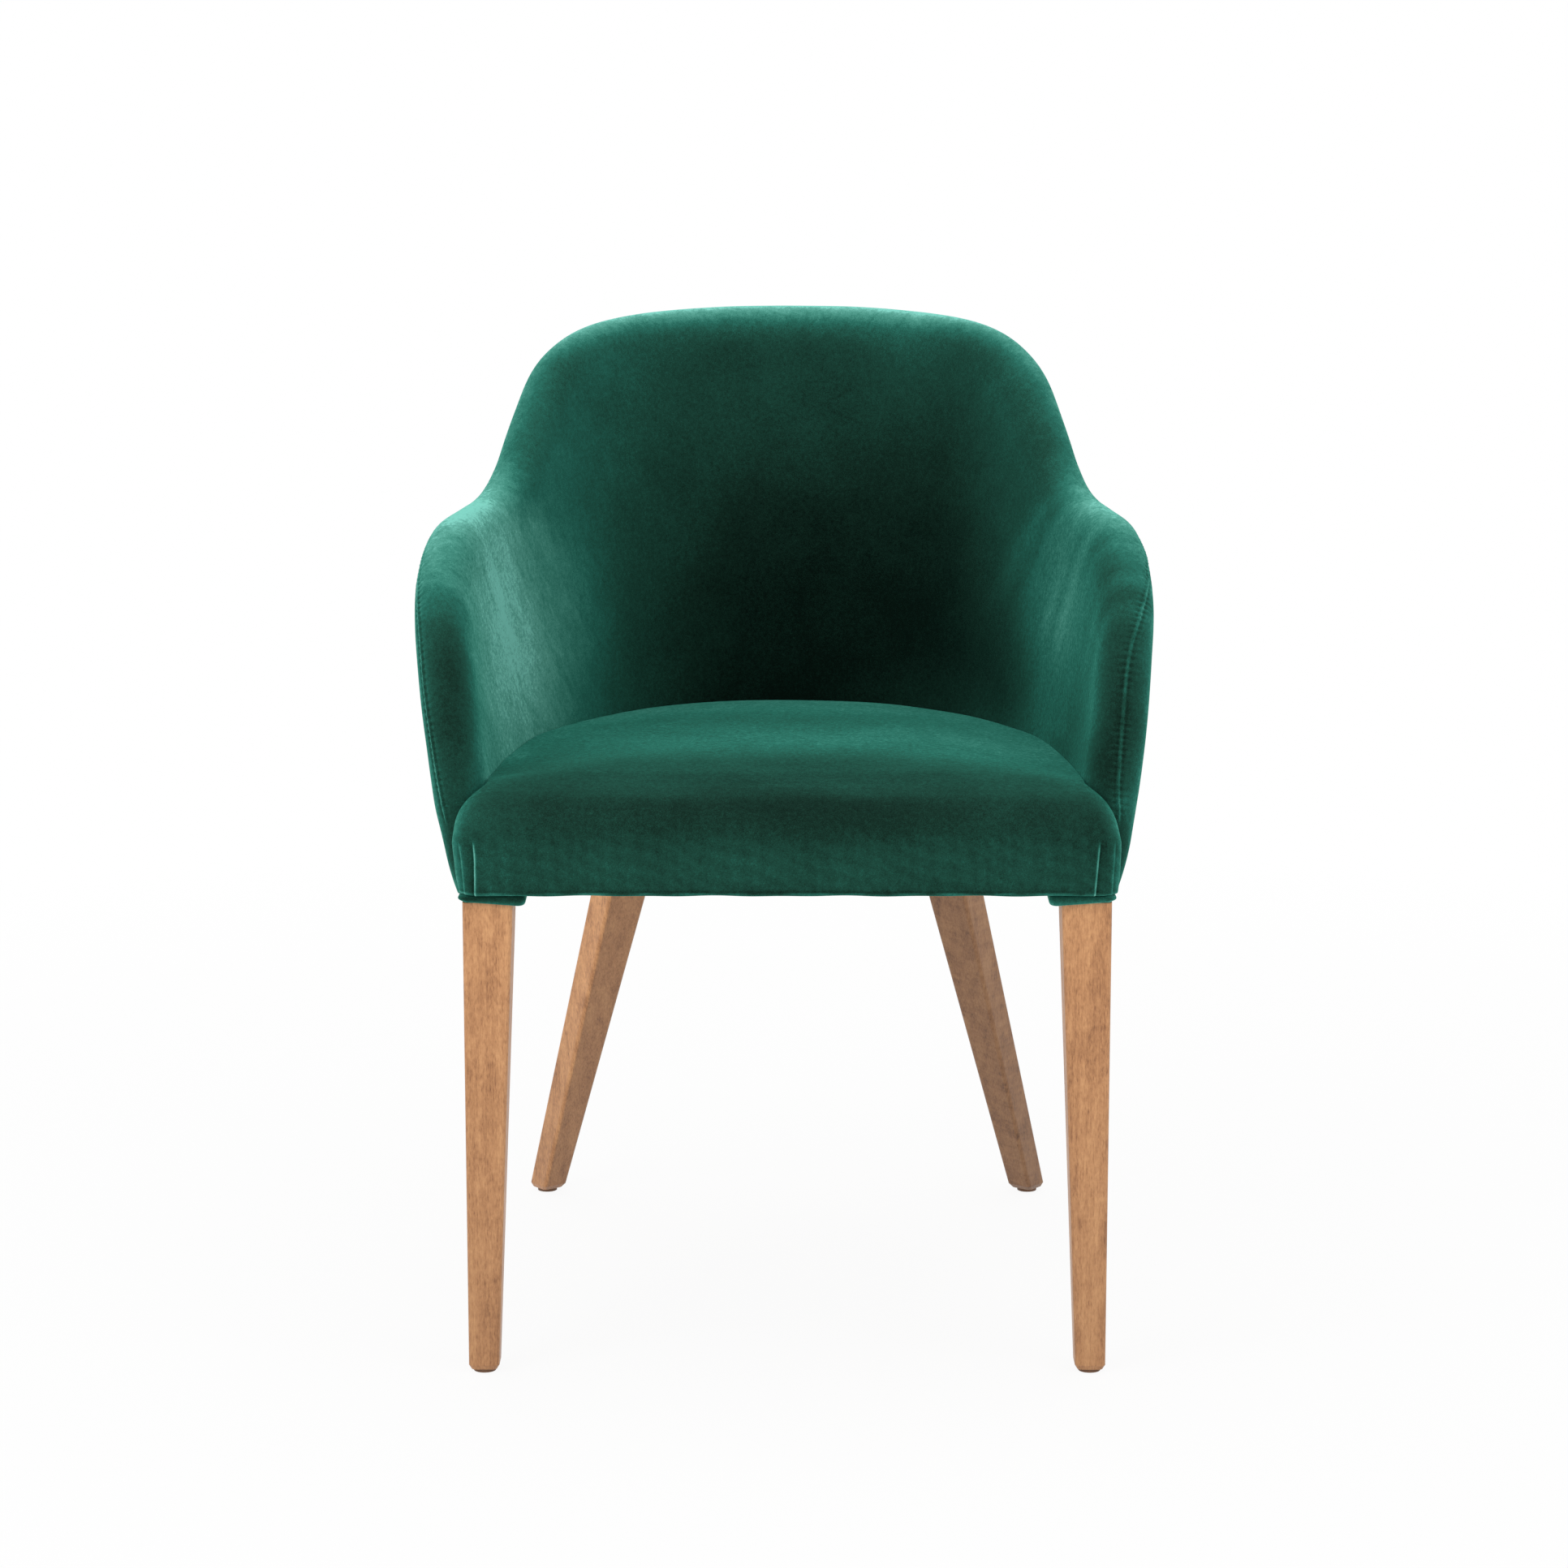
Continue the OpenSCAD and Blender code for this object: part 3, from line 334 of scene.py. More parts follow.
def slab(name, outer, inner, nap_and_painted_light):
    """A closed solid between two grids of points, with fewer rows on its hidden side."""
    rows, cols = outer.shape[:2]
    kept = sorted(set(range(0, cols, HIDDEN_STEP)) | {cols - 1})
    k, m = rows * cols, len(kept)
    verts = join([outer.reshape(-1, 3), inner[:, kept].reshape(-1, 3)])
    faces = grid_faces(rows, cols) + grid_faces(rows, m, k, flip=True)
    for i in range(rows - 1):
        a, b = i * cols, (i + 1) * cols
        c, d = k + i * m, k + (i + 1) * m
        faces.append([a, b, d, c])
        faces.append([b + cols - 1, a + cols - 1, c + m - 1, d + m - 1])
    a, c = (rows - 1) * cols, k + (rows - 1) * m
    for j, (low, high) in enumerate(zip(kept[:-1], kept[1:])):
        faces.append([k + j, k + j + 1, *range(high, low - 1, -1)])
        faces.append([c + j + 1, c + j, *range(a + low, a + high + 1)])
    return build_mesh(name, verts, faces, join([nap_and_painted_light.ravel(), nap_and_painted_light[:, kept].ravel()]))


# Lie of the velvet's pile together with painted light and shade: painted shade low on the back
# between the arms, on the seat's front roll, along the band's lower edge and at the feet of the
# arms; a painted highlight along the back's top edge. Above 0 it catches the light, below 0 it looks
# darker.
# Each patch is its middle, its spread along x, y and z, in mm, and its strength.
SHELL_NAP_AND_PAINTED_LIGHT = [
    (-240, -40, 575, 60, 100, 130, 0.43), (-225, 25, 525, 34, 50, 60, 0.15),
    (-195, 95, 560, 50, 70, 110, 0.18), (-250, -190, 470, 34, 70, 40, 0.06),
    (-262, -215, 580, 22, 30, 90, -0.22), (-252, -110, 635, 30, 50, 40, 0.06),
    (-232, 25, 655, 25, 35, 25, 0.09), (-225, 40, 700, 30, 60, 40, -0.08),
    (-255, 0, 684, 22, 35, 18, -0.09), (-270, -125, 652, 20, 40, 20, -0.1),
    (-207, 143, 792, 25, 40, 16, -0.12), (-165, 190, 790, 40, 40, 25, 0.07),
    (-252, -246, 467, 14, 20, 14, 0.1), (-268, -247, 418, 14, 22, 24, -0.2),
    (235, -10, 600, 60, 60, 70, 0.08), (195, 70, 510, 45, 70, 50, -0.26),
    (245, -150, 640, 50, 70, 60, -0.25), (245, -110, 505, 40, 80, 60, -0.3),
    (240, -215, 492, 20, 45, 22, -0.2), (228, -80, 478, 20, 70, 10, -0.16),
    (245, -60, 560, 30, 60, 50, 0.08), (262, -215, 560, 22, 30, 110, -0.14),
    (265, -249, 460, 12, 20, 12, 0.14), (268, -247, 418, 14, 22, 24, -0.2),
    (273, -243, 487, 12, 20, 25, 0.07), (215, 70, 680, 40, 60, 35, -0.11),
    (246, 15, 688, 22, 40, 20, -0.12), (160, 160, 560, 70, 110, 120, -0.31),
    (150, 200, 720, 70, 80, 70, -0.08), (0, 225, 460, 150, 150, 170, -0.29),
    (60, 235, 620, 130, 120, 110, -0.13), (20, 225, 560, 70, 90, 90, 0.04),
    (0, 250, 740, 170, 60, 70, 0.06), (0, 254, 818, 170, 60, 18, 0.22),
    (115, 225, 805, 45, 40, 28, 0.1),
]
SEAT_NAP_AND_PAINTED_LIGHT = [
    (0, -80, 490, 400, 230, 60, -0.12), (0, -150, 486, 300, 40, 20, -0.05),
    (0, -205, 480, 300, 42, 40, -0.26), (0, -229, 478, 300, 12, 30, -0.08),
    (0, -262, 470, 300, 26, 26, -0.34), (0, -263, 470, 300, 12, 30, 0.17),
    (0, -292, 448, 300, 12, 8, -0.04), (0, -294, 430, 300, 20, 16, 0.07),
    (0, -294, 410, 300, 20, 14, 0.07), (-205, -160, 480, 75, 90, 30, -0.18),
    (-235, -290, 430, 45, 20, 40, 0.11), (0, 30, 487, 180, 70, 20, -0.17),
    (-90, -60, 488, 70, 60, 20, -0.05), (-246, -285, 455, 16, 20, 12, 0.07),
    (249, -283, 455, 16, 20, 12, -0.05), (-206, -262, 471, 40, 20, 10, -0.05),
    (120, -40, 488, 50, 50, 20, 0.07), (-228, -110, 482, 16, 50, 20, 0.12),
    (0, -294, 398.4, 300, 20, 1.4, -0.13), (0, -292, 446, 300, 14, 7, 0.03),
]
# Painted highlights: on the shell where it faces up, and along the curl of the seat's lip
UPWARD_PAINTED_HIGHLIGHT, LIP_PAINTED_HIGHLIGHT = 0.3, 0.3
BAND_NAP, BAND_TOP = 0.04, (435, 460)
PAD_NAP = {-1: -0.02, 1: 0.1}

# Streaks of the arms: strength, share on the left arm, pitch and lean, and where they show, in mm
STREAK_NAP, STREAK_LEFT = 0.06, 0.3
STREAK_PITCH, STREAK_LEAN, STREAK_FLARE, STREAK_MIDDLE = 7.6, 0.15, 0.004, 560
STREAK_SIDE, STREAK_FOOT, STREAK_TOP = (150, 215), (520, 590), (650, 710)


def pile_and_light_patches(grid, patches):
    """Sum of soft patches over a grid of points: the lie of the pile, with painted light and shade.
    """
    nap_and_painted_light = np.zeros(grid.shape[:-1])
    for patch in np.array(patches):
        away = (grid - patch[:3] * MM) / (patch[3:6] * MM)
        nap_and_painted_light += patch[6] * np.exp(-(away ** 2).sum(-1))
    return nap_and_painted_light


def streaks(grid):
    """Soft upright streaks in the pile of the arms, which lean back towards their top."""
    x, y, z = (grid[..., i] / MM for i in range(3))
    up = z - STREAK_MIDDLE
    across = y + STREAK_LEAN * up + STREAK_FLARE * np.clip(up, 0, None) ** 2
    wave = np.sin(across / STREAK_PITCH + np.sin(z / 61) + 0.8 * np.sin(y / 31))
    wave = wave * (0.5 + 0.5 * np.sin(across / 21 + z / 77 + 1))
    share = np.where(x > 0, 1, STREAK_LEFT) * rise(np.abs(x), *STREAK_SIDE)
    return STREAK_NAP * share * rise(z, *STREAK_FOOT) * (1 - rise(z, *STREAK_TOP)) * wave


def blotches(grid):
    """Uneven lie of the pile on the seat's front band."""
    x, z = grid[..., 0] / MM, grid[..., 2] / MM
    wave = np.sin(x / 3.1 + 1.7 * np.sin(x / 13) + z / 4) * np.sin(x / 7.3 - z / 5 + 1)
    return BAND_NAP * wave * (1 - rise(z, *BAND_TOP))


# Velvet over the shell. Its seam: share of the rim's length from the foot, angle round the rim
SEAM_RIGHT = [
    (0, 30), (0.06, 22), (0.09, 7), (0.13, 0), (0.17, -2), (0.2, 0), (0.222, 5.5), (0.245, 19),
    (0.278, 37), (0.3, 51), (0.34, 66), (1, 70),
]
SEAM_LEFT = [
    (0, 34), (0.06, 37), (0.116, 44.5), (0.172, 48), (0.233, 47), (0.26, 50), (0.3, 56),
    (0.4, 66), (1, 70),
]
SKIRT_SEAM = -60
SEAM_PAD, SEAM_BLUR = 40, 5


def seam_angle(shell):
    """Angle round the rim at which the seam lies, for each column."""
    share = shell.run / RIM_LENGTH
    right = np.interp(share, *zip(*SEAM_RIGHT))
    left = np.interp(share, *zip(*SEAM_LEFT))
    angle = np.where(shell.side < 0, left, right)
    return smooth_line(np.pad(angle, SEAM_PAD, "edge"), SEAM_BLUR)[SEAM_PAD:-SEAM_PAD]


SEAM_START, SEAM_IN = 0.055 * RIM_LENGTH, 12 * MM
SEAM_FADE = (0.3 * RIM_LENGTH, 0.42 * RIM_LENGTH)
SEAM_REST = 0.25
# Seam: a ridge with a painted highlight on it and its stitches, a groove with painted shade, and
# puckers with painted light where raised and painted shade where sunk
RIDGE_H, RIDGE_W, RIDGE_HIGHLIGHT = 0.9 * MM, 1.1 * MM, 0.26
GROOVE_H, GROOVE_AT, GROOVE_W, GROOVE_SHADE = 0.35 * MM, 2.6 * MM, 1.4 * MM, 0.06
PUCKER_H, PUCKER_W, PUCKER_PITCH, PUCKER_LIGHT_AND_SHADE = 0.6 * MM, 6.5 * MM, 5.2 * MM, 0.12
STITCH_PITCH = 3.4 * MM
FAR = 1.0


def seam_relief(shell, far):
    """Height beside the shell's seam, with its painted highlight and shade, for points at distances
    from it.
    """
    run = (shell.run * np.where(shell.side < 0, -1, 1))[:, None]
    shows = (1 - rise(np.abs(run), *SEAM_FADE)) * (1 - SEAM_REST) + SEAM_REST
    shows = shows * rise(np.abs(run), SEAM_START, SEAM_START + SEAM_IN)
    ridge = np.exp(-(far / RIDGE_W) ** 2)
    groove = np.exp(-((far - GROOVE_AT) / GROOVE_W) ** 2)
    phase = run / PUCKER_PITCH + 0.35 * np.sin(run / (17 * MM))
    pull = np.exp(-(far / PUCKER_W) ** 2) * (1 - 0.6 * ridge)
    pull = pull * (0.6 + 0.4 * np.sin(run / (29 * MM)) * np.sin(run / (11 * MM) + 1))
    pull = pull * np.sin(2 * np.pi * phase)
    stitch = 0.5 + 0.5 * np.cos(2 * np.pi * run / STITCH_PITCH)
    fuzz = 0.5 + 0.5 * np.sin(run / (4.1 * MM) + 2 * np.sin(run / (7.3 * MM)))
    height = RIDGE_H * ridge * (0.55 + 0.45 * stitch) - GROOVE_H * groove + PUCKER_H * pull
    nap_and_painted_light = RIDGE_HIGHLIGHT * ridge * (0.1 + 0.4 * stitch + 0.5 * fuzz) - GROOVE_SHADE * groove
    return shows * height, shows * (nap_and_painted_light + PUCKER_LIGHT_AND_SHADE * pull)


def shell_skin(name, shell, psi, face, order):
    """A closed skin over the rim and one face of the shell, raised by its seam and padding."""
    far = np.abs(np.radians(psi - seam_angle(shell)[:, None])) * R_RIM
    parts = [(*shell.bead(psi), far), (*face, np.full(face[0].shape[:2], FAR))]
    outer, normal, far = (join(part, 1) for part in zip(*parts[::order]))
    raised, seam_light = seam_relief(shell, far)
    # Lie of the pile with painted light and shade, streaks, and the seam's painted highlight and
    # shade
    nap_and_painted_light = pile_and_light_patches(outer, SHELL_NAP_AND_PAINTED_LIGHT) + streaks(outer) + seam_light
    # Painted highlight where the shell faces up
    nap_and_painted_light = nap_and_painted_light + UPWARD_PAINTED_HIGHLIGHT * np.clip(normal[..., 2], 0, 1) ** 2
    swollen = sway(uneven(outer, normal) + raised[..., None] * normal)
    return slab(name, swollen, outer - LAYER_T * normal, nap_and_painted_light)


# Rows and columns of the two covers, and how they crowd towards the seam
INSIDE_COLUMNS, OUTSIDE_COLUMNS, SKIRT_COLUMNS = 521, 536, 46
INSIDE_ROWS, OUTSIDE_ROWS = 80, 60
BEAD_ROWS_IN, BEAD_ROWS_OUT, WRAP_ROWS = 44, 34, 24
FACE_POWER, BEAD_POWER = 1.4, 1.3
SKIRT_EDGE = 0.1 * MM


def crowded(count, power):
    """Shares from 0 to 1, closer together towards 1."""
    return 1 - (1 - np.linspace(0, 1, count)) ** power


def make_inside_cover():
    shell = Shell(np.linspace(SKIRT_RUN, RIM_LENGTH, INSIDE_COLUMNS))
    face, normal = shell.face(crowded(INSIDE_ROWS, FACE_POWER)[:-1], -R_RIM)
    psi = -90 + (seam_angle(shell)[:, None] + 90) * crowded(BEAD_ROWS_IN, BEAD_POWER)
    return shell_skin("inside_velvet", shell, psi, (face, -normal), -1)


def make_outside_cover():
    skirt = np.linspace(0, SKIRT_RUN, SKIRT_COLUMNS)[:-1]
    edge = SKIRT_RUN - SKIRT_EDGE * np.array([4, 1])
    rest = np.linspace(SKIRT_RUN, RIM_LENGTH, OUTSIDE_COLUMNS)
    shell = Shell(join([skirt, edge, rest]))
    seam = seam_angle(shell)[:, None]
    low = np.where(shell.run[:, None] < SKIRT_RUN, SKIRT_SEAM, seam)
    wrap = low + (seam - low) * np.linspace(0, 1, WRAP_ROWS)[:-1]
    psi = seam + (90 - seam) * np.linspace(0, 1, BEAD_ROWS_OUT) ** BEAD_POWER
    face = shell.face(np.linspace(0, 1, OUTSIDE_ROWS)[-2::-1], R_RIM, from_foot=True)
    return shell_skin("outside_velvet", shell, join([wrap, psi], 1), face, 1)


# Velvet over the seat
SEAT_Z = BODY_BOTTOM + SEAT_EDGE_H
SEAT_V = -R_RIM - CURVE_GAP
NOSE_HALF = SEAT_FRONT_W / 2
NOSE_BACK = SHELL_Y - R_RIM - GAP
NOSE_END = NOSE_BACK - VELVET_T - GAP
NOSE_LOW = BODY_BOTTOM + BAND_H
ROLL_END = FRONT_Y + ROLL_DEPTH
WALL_Z = BODY_BOTTOM + 51 * MM
CORNER_ANGLE = 38
ARM_TURN = 0.08
# Shares of the crown's height from the nose to the back, along the middle and along the sides
CROWN = [(0, 0.55), (0.12, 0.8), (0.3, 0.97), (0.45, 1), (0.65, 0.86), (0.85, 0.42), (1, -0.1)]
EDGE = [(-0.12, 0.42), (0, 0.38), (0.12, 0.1), (0.35, -0.15), (0.6, -0.1), (0.85, 0.15), (1, 0)]
CROWN_POWER = 2.6
TUCK_IN = 7 * MM
SOFT_WIDTH, PER_UNIT = 0.05, 400


def soft_interp(t, table):
    """Smoothed lookup in a table of pairs."""
    fine = np.linspace(-0.5, 1.5, 2 * PER_UNIT + 1)
    values = np.interp(fine, *zip(*table))
    (t0, v0), (t1, v1) = table[:2]
    (t2, v2), (t3, v3) = table[-2:]
    values = np.where(fine < t0, v0 + (v1 - v0) / (t1 - t0) * (fine - t0), values)
    values = np.where(fine > t3, v3 + (v3 - v2) / (t3 - t2) * (fine - t3), values)
    return np.interp(t, fine, smooth_line(values, SOFT_WIDTH * PER_UNIT))


def quarter(q):
    """Height along a quarter of a unit circle, from 1 at q = 0 to 0 at q = 1."""
    return np.sqrt(1 - np.clip(q, 0, 1) ** 2)


def nose_front(x):
    past = np.abs(x) - NOSE_HALF + CORNER_ROUND
    return FRONT_Y + CORNER_ROUND * (1 - quarter(past / CORNER_ROUND))


def side_place(t):
    """Side edge of the seat's top: round the front of the arm, then along its inner face."""
    phi = np.radians(90 * np.clip(1 - t / ARM_TURN, 0, 1))
    angle = 90 - (90 - CORNER_ANGLE) * np.clip((t - ARM_TURN) / (1 - ARM_TURN), 0, 1)
    middle = shell_point(90.0, SEAT_Z)
    turn = points(middle[0] + SEAT_V * np.cos(phi), middle[1] + SEAT_V * np.sin(phi), SEAT_Z)
    return np.where((t < ARM_TURN)[..., None], turn, beside(angle, SEAT_Z, SEAT_V))


def top_place(u, t):
    """Blend of the four edges of the top of the seat."""
    w, t3 = ((1 + u) / 2)[..., None], t[..., None]

    def across(right):
        return (1 - w) * right * np.array([-1, 1, 1]) + w * right

    front_corner, back_corner = side_place(np.array(0.0)), side_place(np.array(1.0))
    front = points(front_corner[0] * u, front_corner[1], front_corner[2])
    back = beside(u * CORNER_ANGLE, SEAT_Z, SEAT_V)
    return ((1 - t3) * (front - across(front_corner)) + t3 * (back - across(back_corner))
            + across(side_place(t)))


def seat_height(x, y, u):
    """Height of the seat: a crowned dome that rolls over to its front and front corners."""
    back = beside(u * CORNER_ANGLE, SEAT_Z, SEAT_V)[..., 1]
    depth = (y - NOSE_END) / (back - NOSE_END)
    edge, mid = soft_interp(depth, EDGE), soft_interp(depth, CROWN)
    inward = 1 - np.abs(u) ** CROWN_POWER
    dome = SEAT_Z + CROWN_H * (edge + (mid - edge) * inward)
    flat = np.clip(1 - (2 * np.clip(depth, 0, 1) - 1) ** 2, 0, 1)
    dome = dome - CROWN_SWELL * flat * inward
    ahead = quarter((ROLL_END - y) / (ROLL_END - nose_front(x)))
    aside = quarter((np.abs(x) - NOSE_HALF + NOSE_ROUND) / NOSE_ROUND)
    return NOSE_LOW + (dome - NOSE_LOW) * ahead * aside


# Folds at the front corners: side, then in mm place at the top and at the foot, lap, and the
# groove's depth and width
FOLDS = [
    (-1, 246.2, 246.4, 0.9, 1.7, 2.2),
    (-1, 257.6, 254.6, 0.2, 0.9, 1.6),
    (1, 246, 242.8, 0.9, 1.2, 1.8),
    (1, 258.4, 256.2, 0.2, 0.7, 1.4),
]
FOLD_TOP = 6 * MM
FOLD_EDGE = 0.5 * MM
FOLD_SLOPE, FOLD_REACH = 4 * MM, 12 * MM
FOLD_LINE, FOLD_FULL_LAP = 0.85 * MM, 0.9 * MM
FOLD_LIGHT, FOLD_SHADE = 0.5, 0.22
LIP_R = 2.5 * MM
LIP_WAVE, LIP_FADE, LIP_LINE = 0.5 * MM, 8 * MM, 0.9 * MM
UNDER_SHARE = 0.95

# Places across half the seat. Rows of its lip, band, roll, turn round the arms' fronts, and top
SIDE_PLACES = 110
FINE_FROM, FINE_TO, FINE_STEP = 232 * MM, 262 * MM, 0.5 * MM
LIP_ROWS, BAND_ROWS, ROLL_ROWS, TURN_ROWS, TOP_ROWS = 7, 40, 40, 16, 120
FOOT_COLUMNS = 40


def fold_relief(x, z):
    """Depth of the lapped folds of the band's corners, with painted highlights on their edges and
    painted shade beside them.
    """
    depth, nap_and_painted_light = np.zeros_like(x), np.zeros_like(x)
    down = np.clip((NOSE_LOW - z) / (NOSE_LOW - BODY_BOTTOM), -0.3, 1)
    fade = 1 - rise(z, NOSE_LOW - FOLD_TOP / 2, NOSE_LOW + FOLD_TOP)
    for side, *sizes in FOLDS:
        high, low, lap, groove, width = np.array(sizes) * MM
        d = side * x - (high + (low - high) * down)
        past = rise(d, -FOLD_EDGE, FOLD_EDGE)
        inside = np.exp(np.minimum(d, 0) / FOLD_SLOPE) * (1 - past)
        beyond = np.exp(-np.maximum(d, 0) / width) * past
        near = fade * (np.abs(d) < FOLD_REACH)
        depth += near * (lap * inside - groove * beyond)
        edge = np.exp(-((d + FOLD_EDGE) / FOLD_LINE) ** 2)
        nap_and_painted_light += near * lap / FOLD_FULL_LAP * (FOLD_LIGHT * edge - FOLD_SHADE * beyond)
    return depth, nap_and_painted_light


def across_seat():
    """Places across the seat from -1 to 1, closer together towards its sides and at the folds."""
    side = 1 - np.linspace(0, 1, SIDE_PLACES) ** 2
    fine = np.arange(FINE_FROM, FINE_TO, FINE_STEP) / NOSE_HALF
    outside = (side < fine[0]) | (side > fine[-1])
    half = np.sort(join([side[outside], fine]))
    return join([-half[::-1], half[1:]])


def seat_grid():
    """Outer surface of the seat: under the front edge, up the band, over the roll and the crown."""
    u = across_seat()
    x = u * NOSE_HALF
    front = nose_front(x)
    draw = np.where(x < 0, BAND_DRAW_LEFT, BAND_DRAW_RIGHT) / NOSE_HALF
    rows = [points(x * (1 - draw - TUCK_IN / NOSE_HALF), front + TUCK_IN, BODY_BOTTOM)]
    lip = LIP_WAVE * (1 - np.sin(x / (37 * MM)) * np.sin(x / (11 * MM) + 0.6))
    turn = np.radians(np.linspace(10, 90, LIP_ROWS))
    low = [(LIP_R * (1 - math.sin(a)), BODY_BOTTOM + LIP_R * (1 - math.cos(a))) for a in turn]
    high = [(0.0, z) for z in np.linspace(BODY_BOTTOM + LIP_R, NOSE_LOW, BAND_ROWS)[1:-1]]
    for back, z in low + high:
        narrow = 1 - draw * ((NOSE_LOW - z) / BAND_H) ** 2
        lift = lip * np.clip(1 - (z - BODY_BOTTOM) / LIP_FADE, 0, 1)
        rows.append(points(x * narrow, front + back, z + lift))
    for share in 1 - np.cos(np.radians(np.linspace(0, 90, ROLL_ROWS))):
        y = front + (NOSE_END - front) * share
        rows.append(points(x, y, seat_height(x, y, u)))
    nose = np.stack(rows)
    t = np.linspace(0, ARM_TURN, TURN_ROWS)[1:-1]
    t = join([t, np.linspace(ARM_TURN, 1, TOP_ROWS)])
    uu, tt = np.meshgrid(u, t)
    top = top_place(uu, tt)
    top[..., 2] = seat_height(top[..., 0], top[..., 1], uu)
    return u, nose, top


def arm_front(x, z):
    """Depth to which the band's sides reach back: up to the rounded front of the arm's foot."""
    rim = Shell(np.linspace(0, SKIRT_RUN, FOOT_COLUMNS)).rim[:FOOT_COLUMNS]
    middle_x, middle_y = (np.interp(z, rim[:, 2], rim[:, i]) for i in (0, 1))
    round_front = np.sqrt(np.clip(R_RIM ** 2 - (x - middle_x) ** 2, 0, None))
    return np.where(z < WALL_Z, middle_y - round_front - CURVE_GAP / 2, NOSE_BACK)


def make_seat_cover():
    u, nose, top = seat_grid()
    depth, fold_highlight_and_shade = fold_relief(nose[..., 0], nose[..., 2])
    nose[..., 1] -= depth
    grid = join([nose, top])
    up = rise(grid[..., 2], NOSE_LOW, SEAT_Z)[..., None] * np.array([0, 0, 1.0])
    grid = sway(uneven(grid, up))
    fold_highlight_and_shade = np.pad(fold_highlight_and_shade, ((0, len(grid) + 1 - len(nose)), (1, 1)))
    down = grid[-1:].copy()
    down[..., 2] = WALL_Z
    grid = join([grid, down])
    left, right = grid[:, :1].copy(), grid[:, -1:].copy()
    n = len(nose)
    for edge in (left, right):
        edge[n:, 0, 2] = WALL_Z
        edge[:n, 0, 1] = arm_front(np.abs(edge[:n, 0, 0]), edge[:n, 0, 2])
    grid = join([left, grid, right], 1)
    x, y, z = (grid[..., i] for i in range(3))
    under = grid * np.array([UNDER_SHARE, UNDER_SHARE, 1])
    rail_front = FRONT_Y + RAIL_SETBACK - GAP
    under[:n, :, 1] = np.where(z[:n] < NOSE_LOW, rail_front, np.maximum(y[:n], rail_front))
    under[:, :, 2] = np.where(z < NOSE_LOW, z, DECK_Z)
    under[n:, :, 2] = DECK_Z
    # Painted highlight along the curl of the lip, broken up by a wave across the seat
    lip_highlight_wave = 0.5 + 0.5 * np.sin(x / (23 * MM) + 2 * np.sin(x / (9 * MM)))
    lip_highlight = LIP_PAINTED_HIGHLIGHT * lip_highlight_wave * np.exp(-((z - BODY_BOTTOM - LIP_R) / LIP_LINE) ** 2)
    # Lie of the pile with painted light and shade, blotches on the band, and the painted highlights
    # and shade of the folds and the lip
    nap_and_painted_light = pile_and_light_patches(grid, SEAT_NAP_AND_PAINTED_LIGHT) + blotches(grid) + fold_highlight_and_shade + lip_highlight
    cover = slab("seat_velvet", grid, under, nap_and_painted_light)
    settle(cover)
    return cover


# Cloth simulation of the seat: a coarse copy swells under pressure, and the fine cover follows it
SETTLE_VOXEL = 6 * MM
SETTLE_PRESSURE = 4
SETTLE_FRAMES = 20
SETTLE_CAP = 6 * MM
SETTLE_REACH = 13 * MM
FREE_SLOPE = (0.8, 0.97)
FREE_Z = (466 * MM, 474 * MM)
TINY = 1e-9


def coarse_copy(piece):
    """A copy of a piece rebuilt from small even faces."""
    copy = add_object("settling", piece.data.copy())
    remesh = copy.modifiers.new("remesh", "REMESH")
    remesh.mode = "VOXEL"
    remesh.voxel_size = SETTLE_VOXEL
    rebuilt = copy.evaluated_get(bpy.context.evaluated_depsgraph_get())
    mesh = bpy.data.meshes.new_from_object(rebuilt)
    copy.modifiers.clear()
    copy.data = mesh
    return copy


def swell(copy):
    """Runs Cloth on the copy, held but for its top. Gives where each point was and how it moved."""
    start = coordinates(copy.data)
    up = np.array([vertex.normal.z for vertex in copy.data.vertices])
    held = 1 - rise(up, *FREE_SLOPE) * rise(start[:, 2], *FREE_Z)
    group = copy.vertex_groups.new(name="held")
    for i, weight in enumerate(held):
        group.add([i], float(weight), "REPLACE")
    cloth = copy.modifiers.new("cloth", "CLOTH")
    cloth.settings.use_pressure = True
    cloth.settings.uniform_pressure_force = SETTLE_PRESSURE
    cloth.settings.effector_weights.gravity = 0
    cloth.settings.vertex_group_mass = "held"
    cloth.collision_settings.use_collision = False
    cloth.point_cache.frame_end = SETTLE_FRAMES
    for number in range(1, SETTLE_FRAMES + 1):
        bpy.context.scene.frame_set(number)
        settled = copy.evaluated_get(bpy.context.evaluated_depsgraph_get())
        end = coordinates(settled.data)
    bpy.context.scene.frame_set(1)
    moved = end - start
    length = np.linalg.norm(moved, axis=1, keepdims=True)
    return start, moved * np.minimum(1, SETTLE_CAP / np.maximum(length, TINY))


def settle(piece):
    """Lets a padded piece swell as its coarse copy did, apart from its folds and edges."""
    copy = coarse_copy(piece)
    start, moved = swell(copy)
    tree = KDTree(len(start))
    for i, point in enumerate(start):
        tree.insert(point, i)
    tree.balance()
    places = coordinates(piece.data)
    for i in np.nonzero(places[:, 2] > FREE_Z[0])[0]:
        near = tree.find_range(places[i], SETTLE_REACH)
        share = np.array([1 - (distance / SETTLE_REACH) ** 2 for _, _, distance in near]) ** 2
        if near:
            places[i] += share @ moved[[index for _, index, _ in near]] / share.sum()
    piece.data.vertices.foreach_set("co", places.ravel())
    piece.data.update()
    bpy.data.objects.remove(copy)


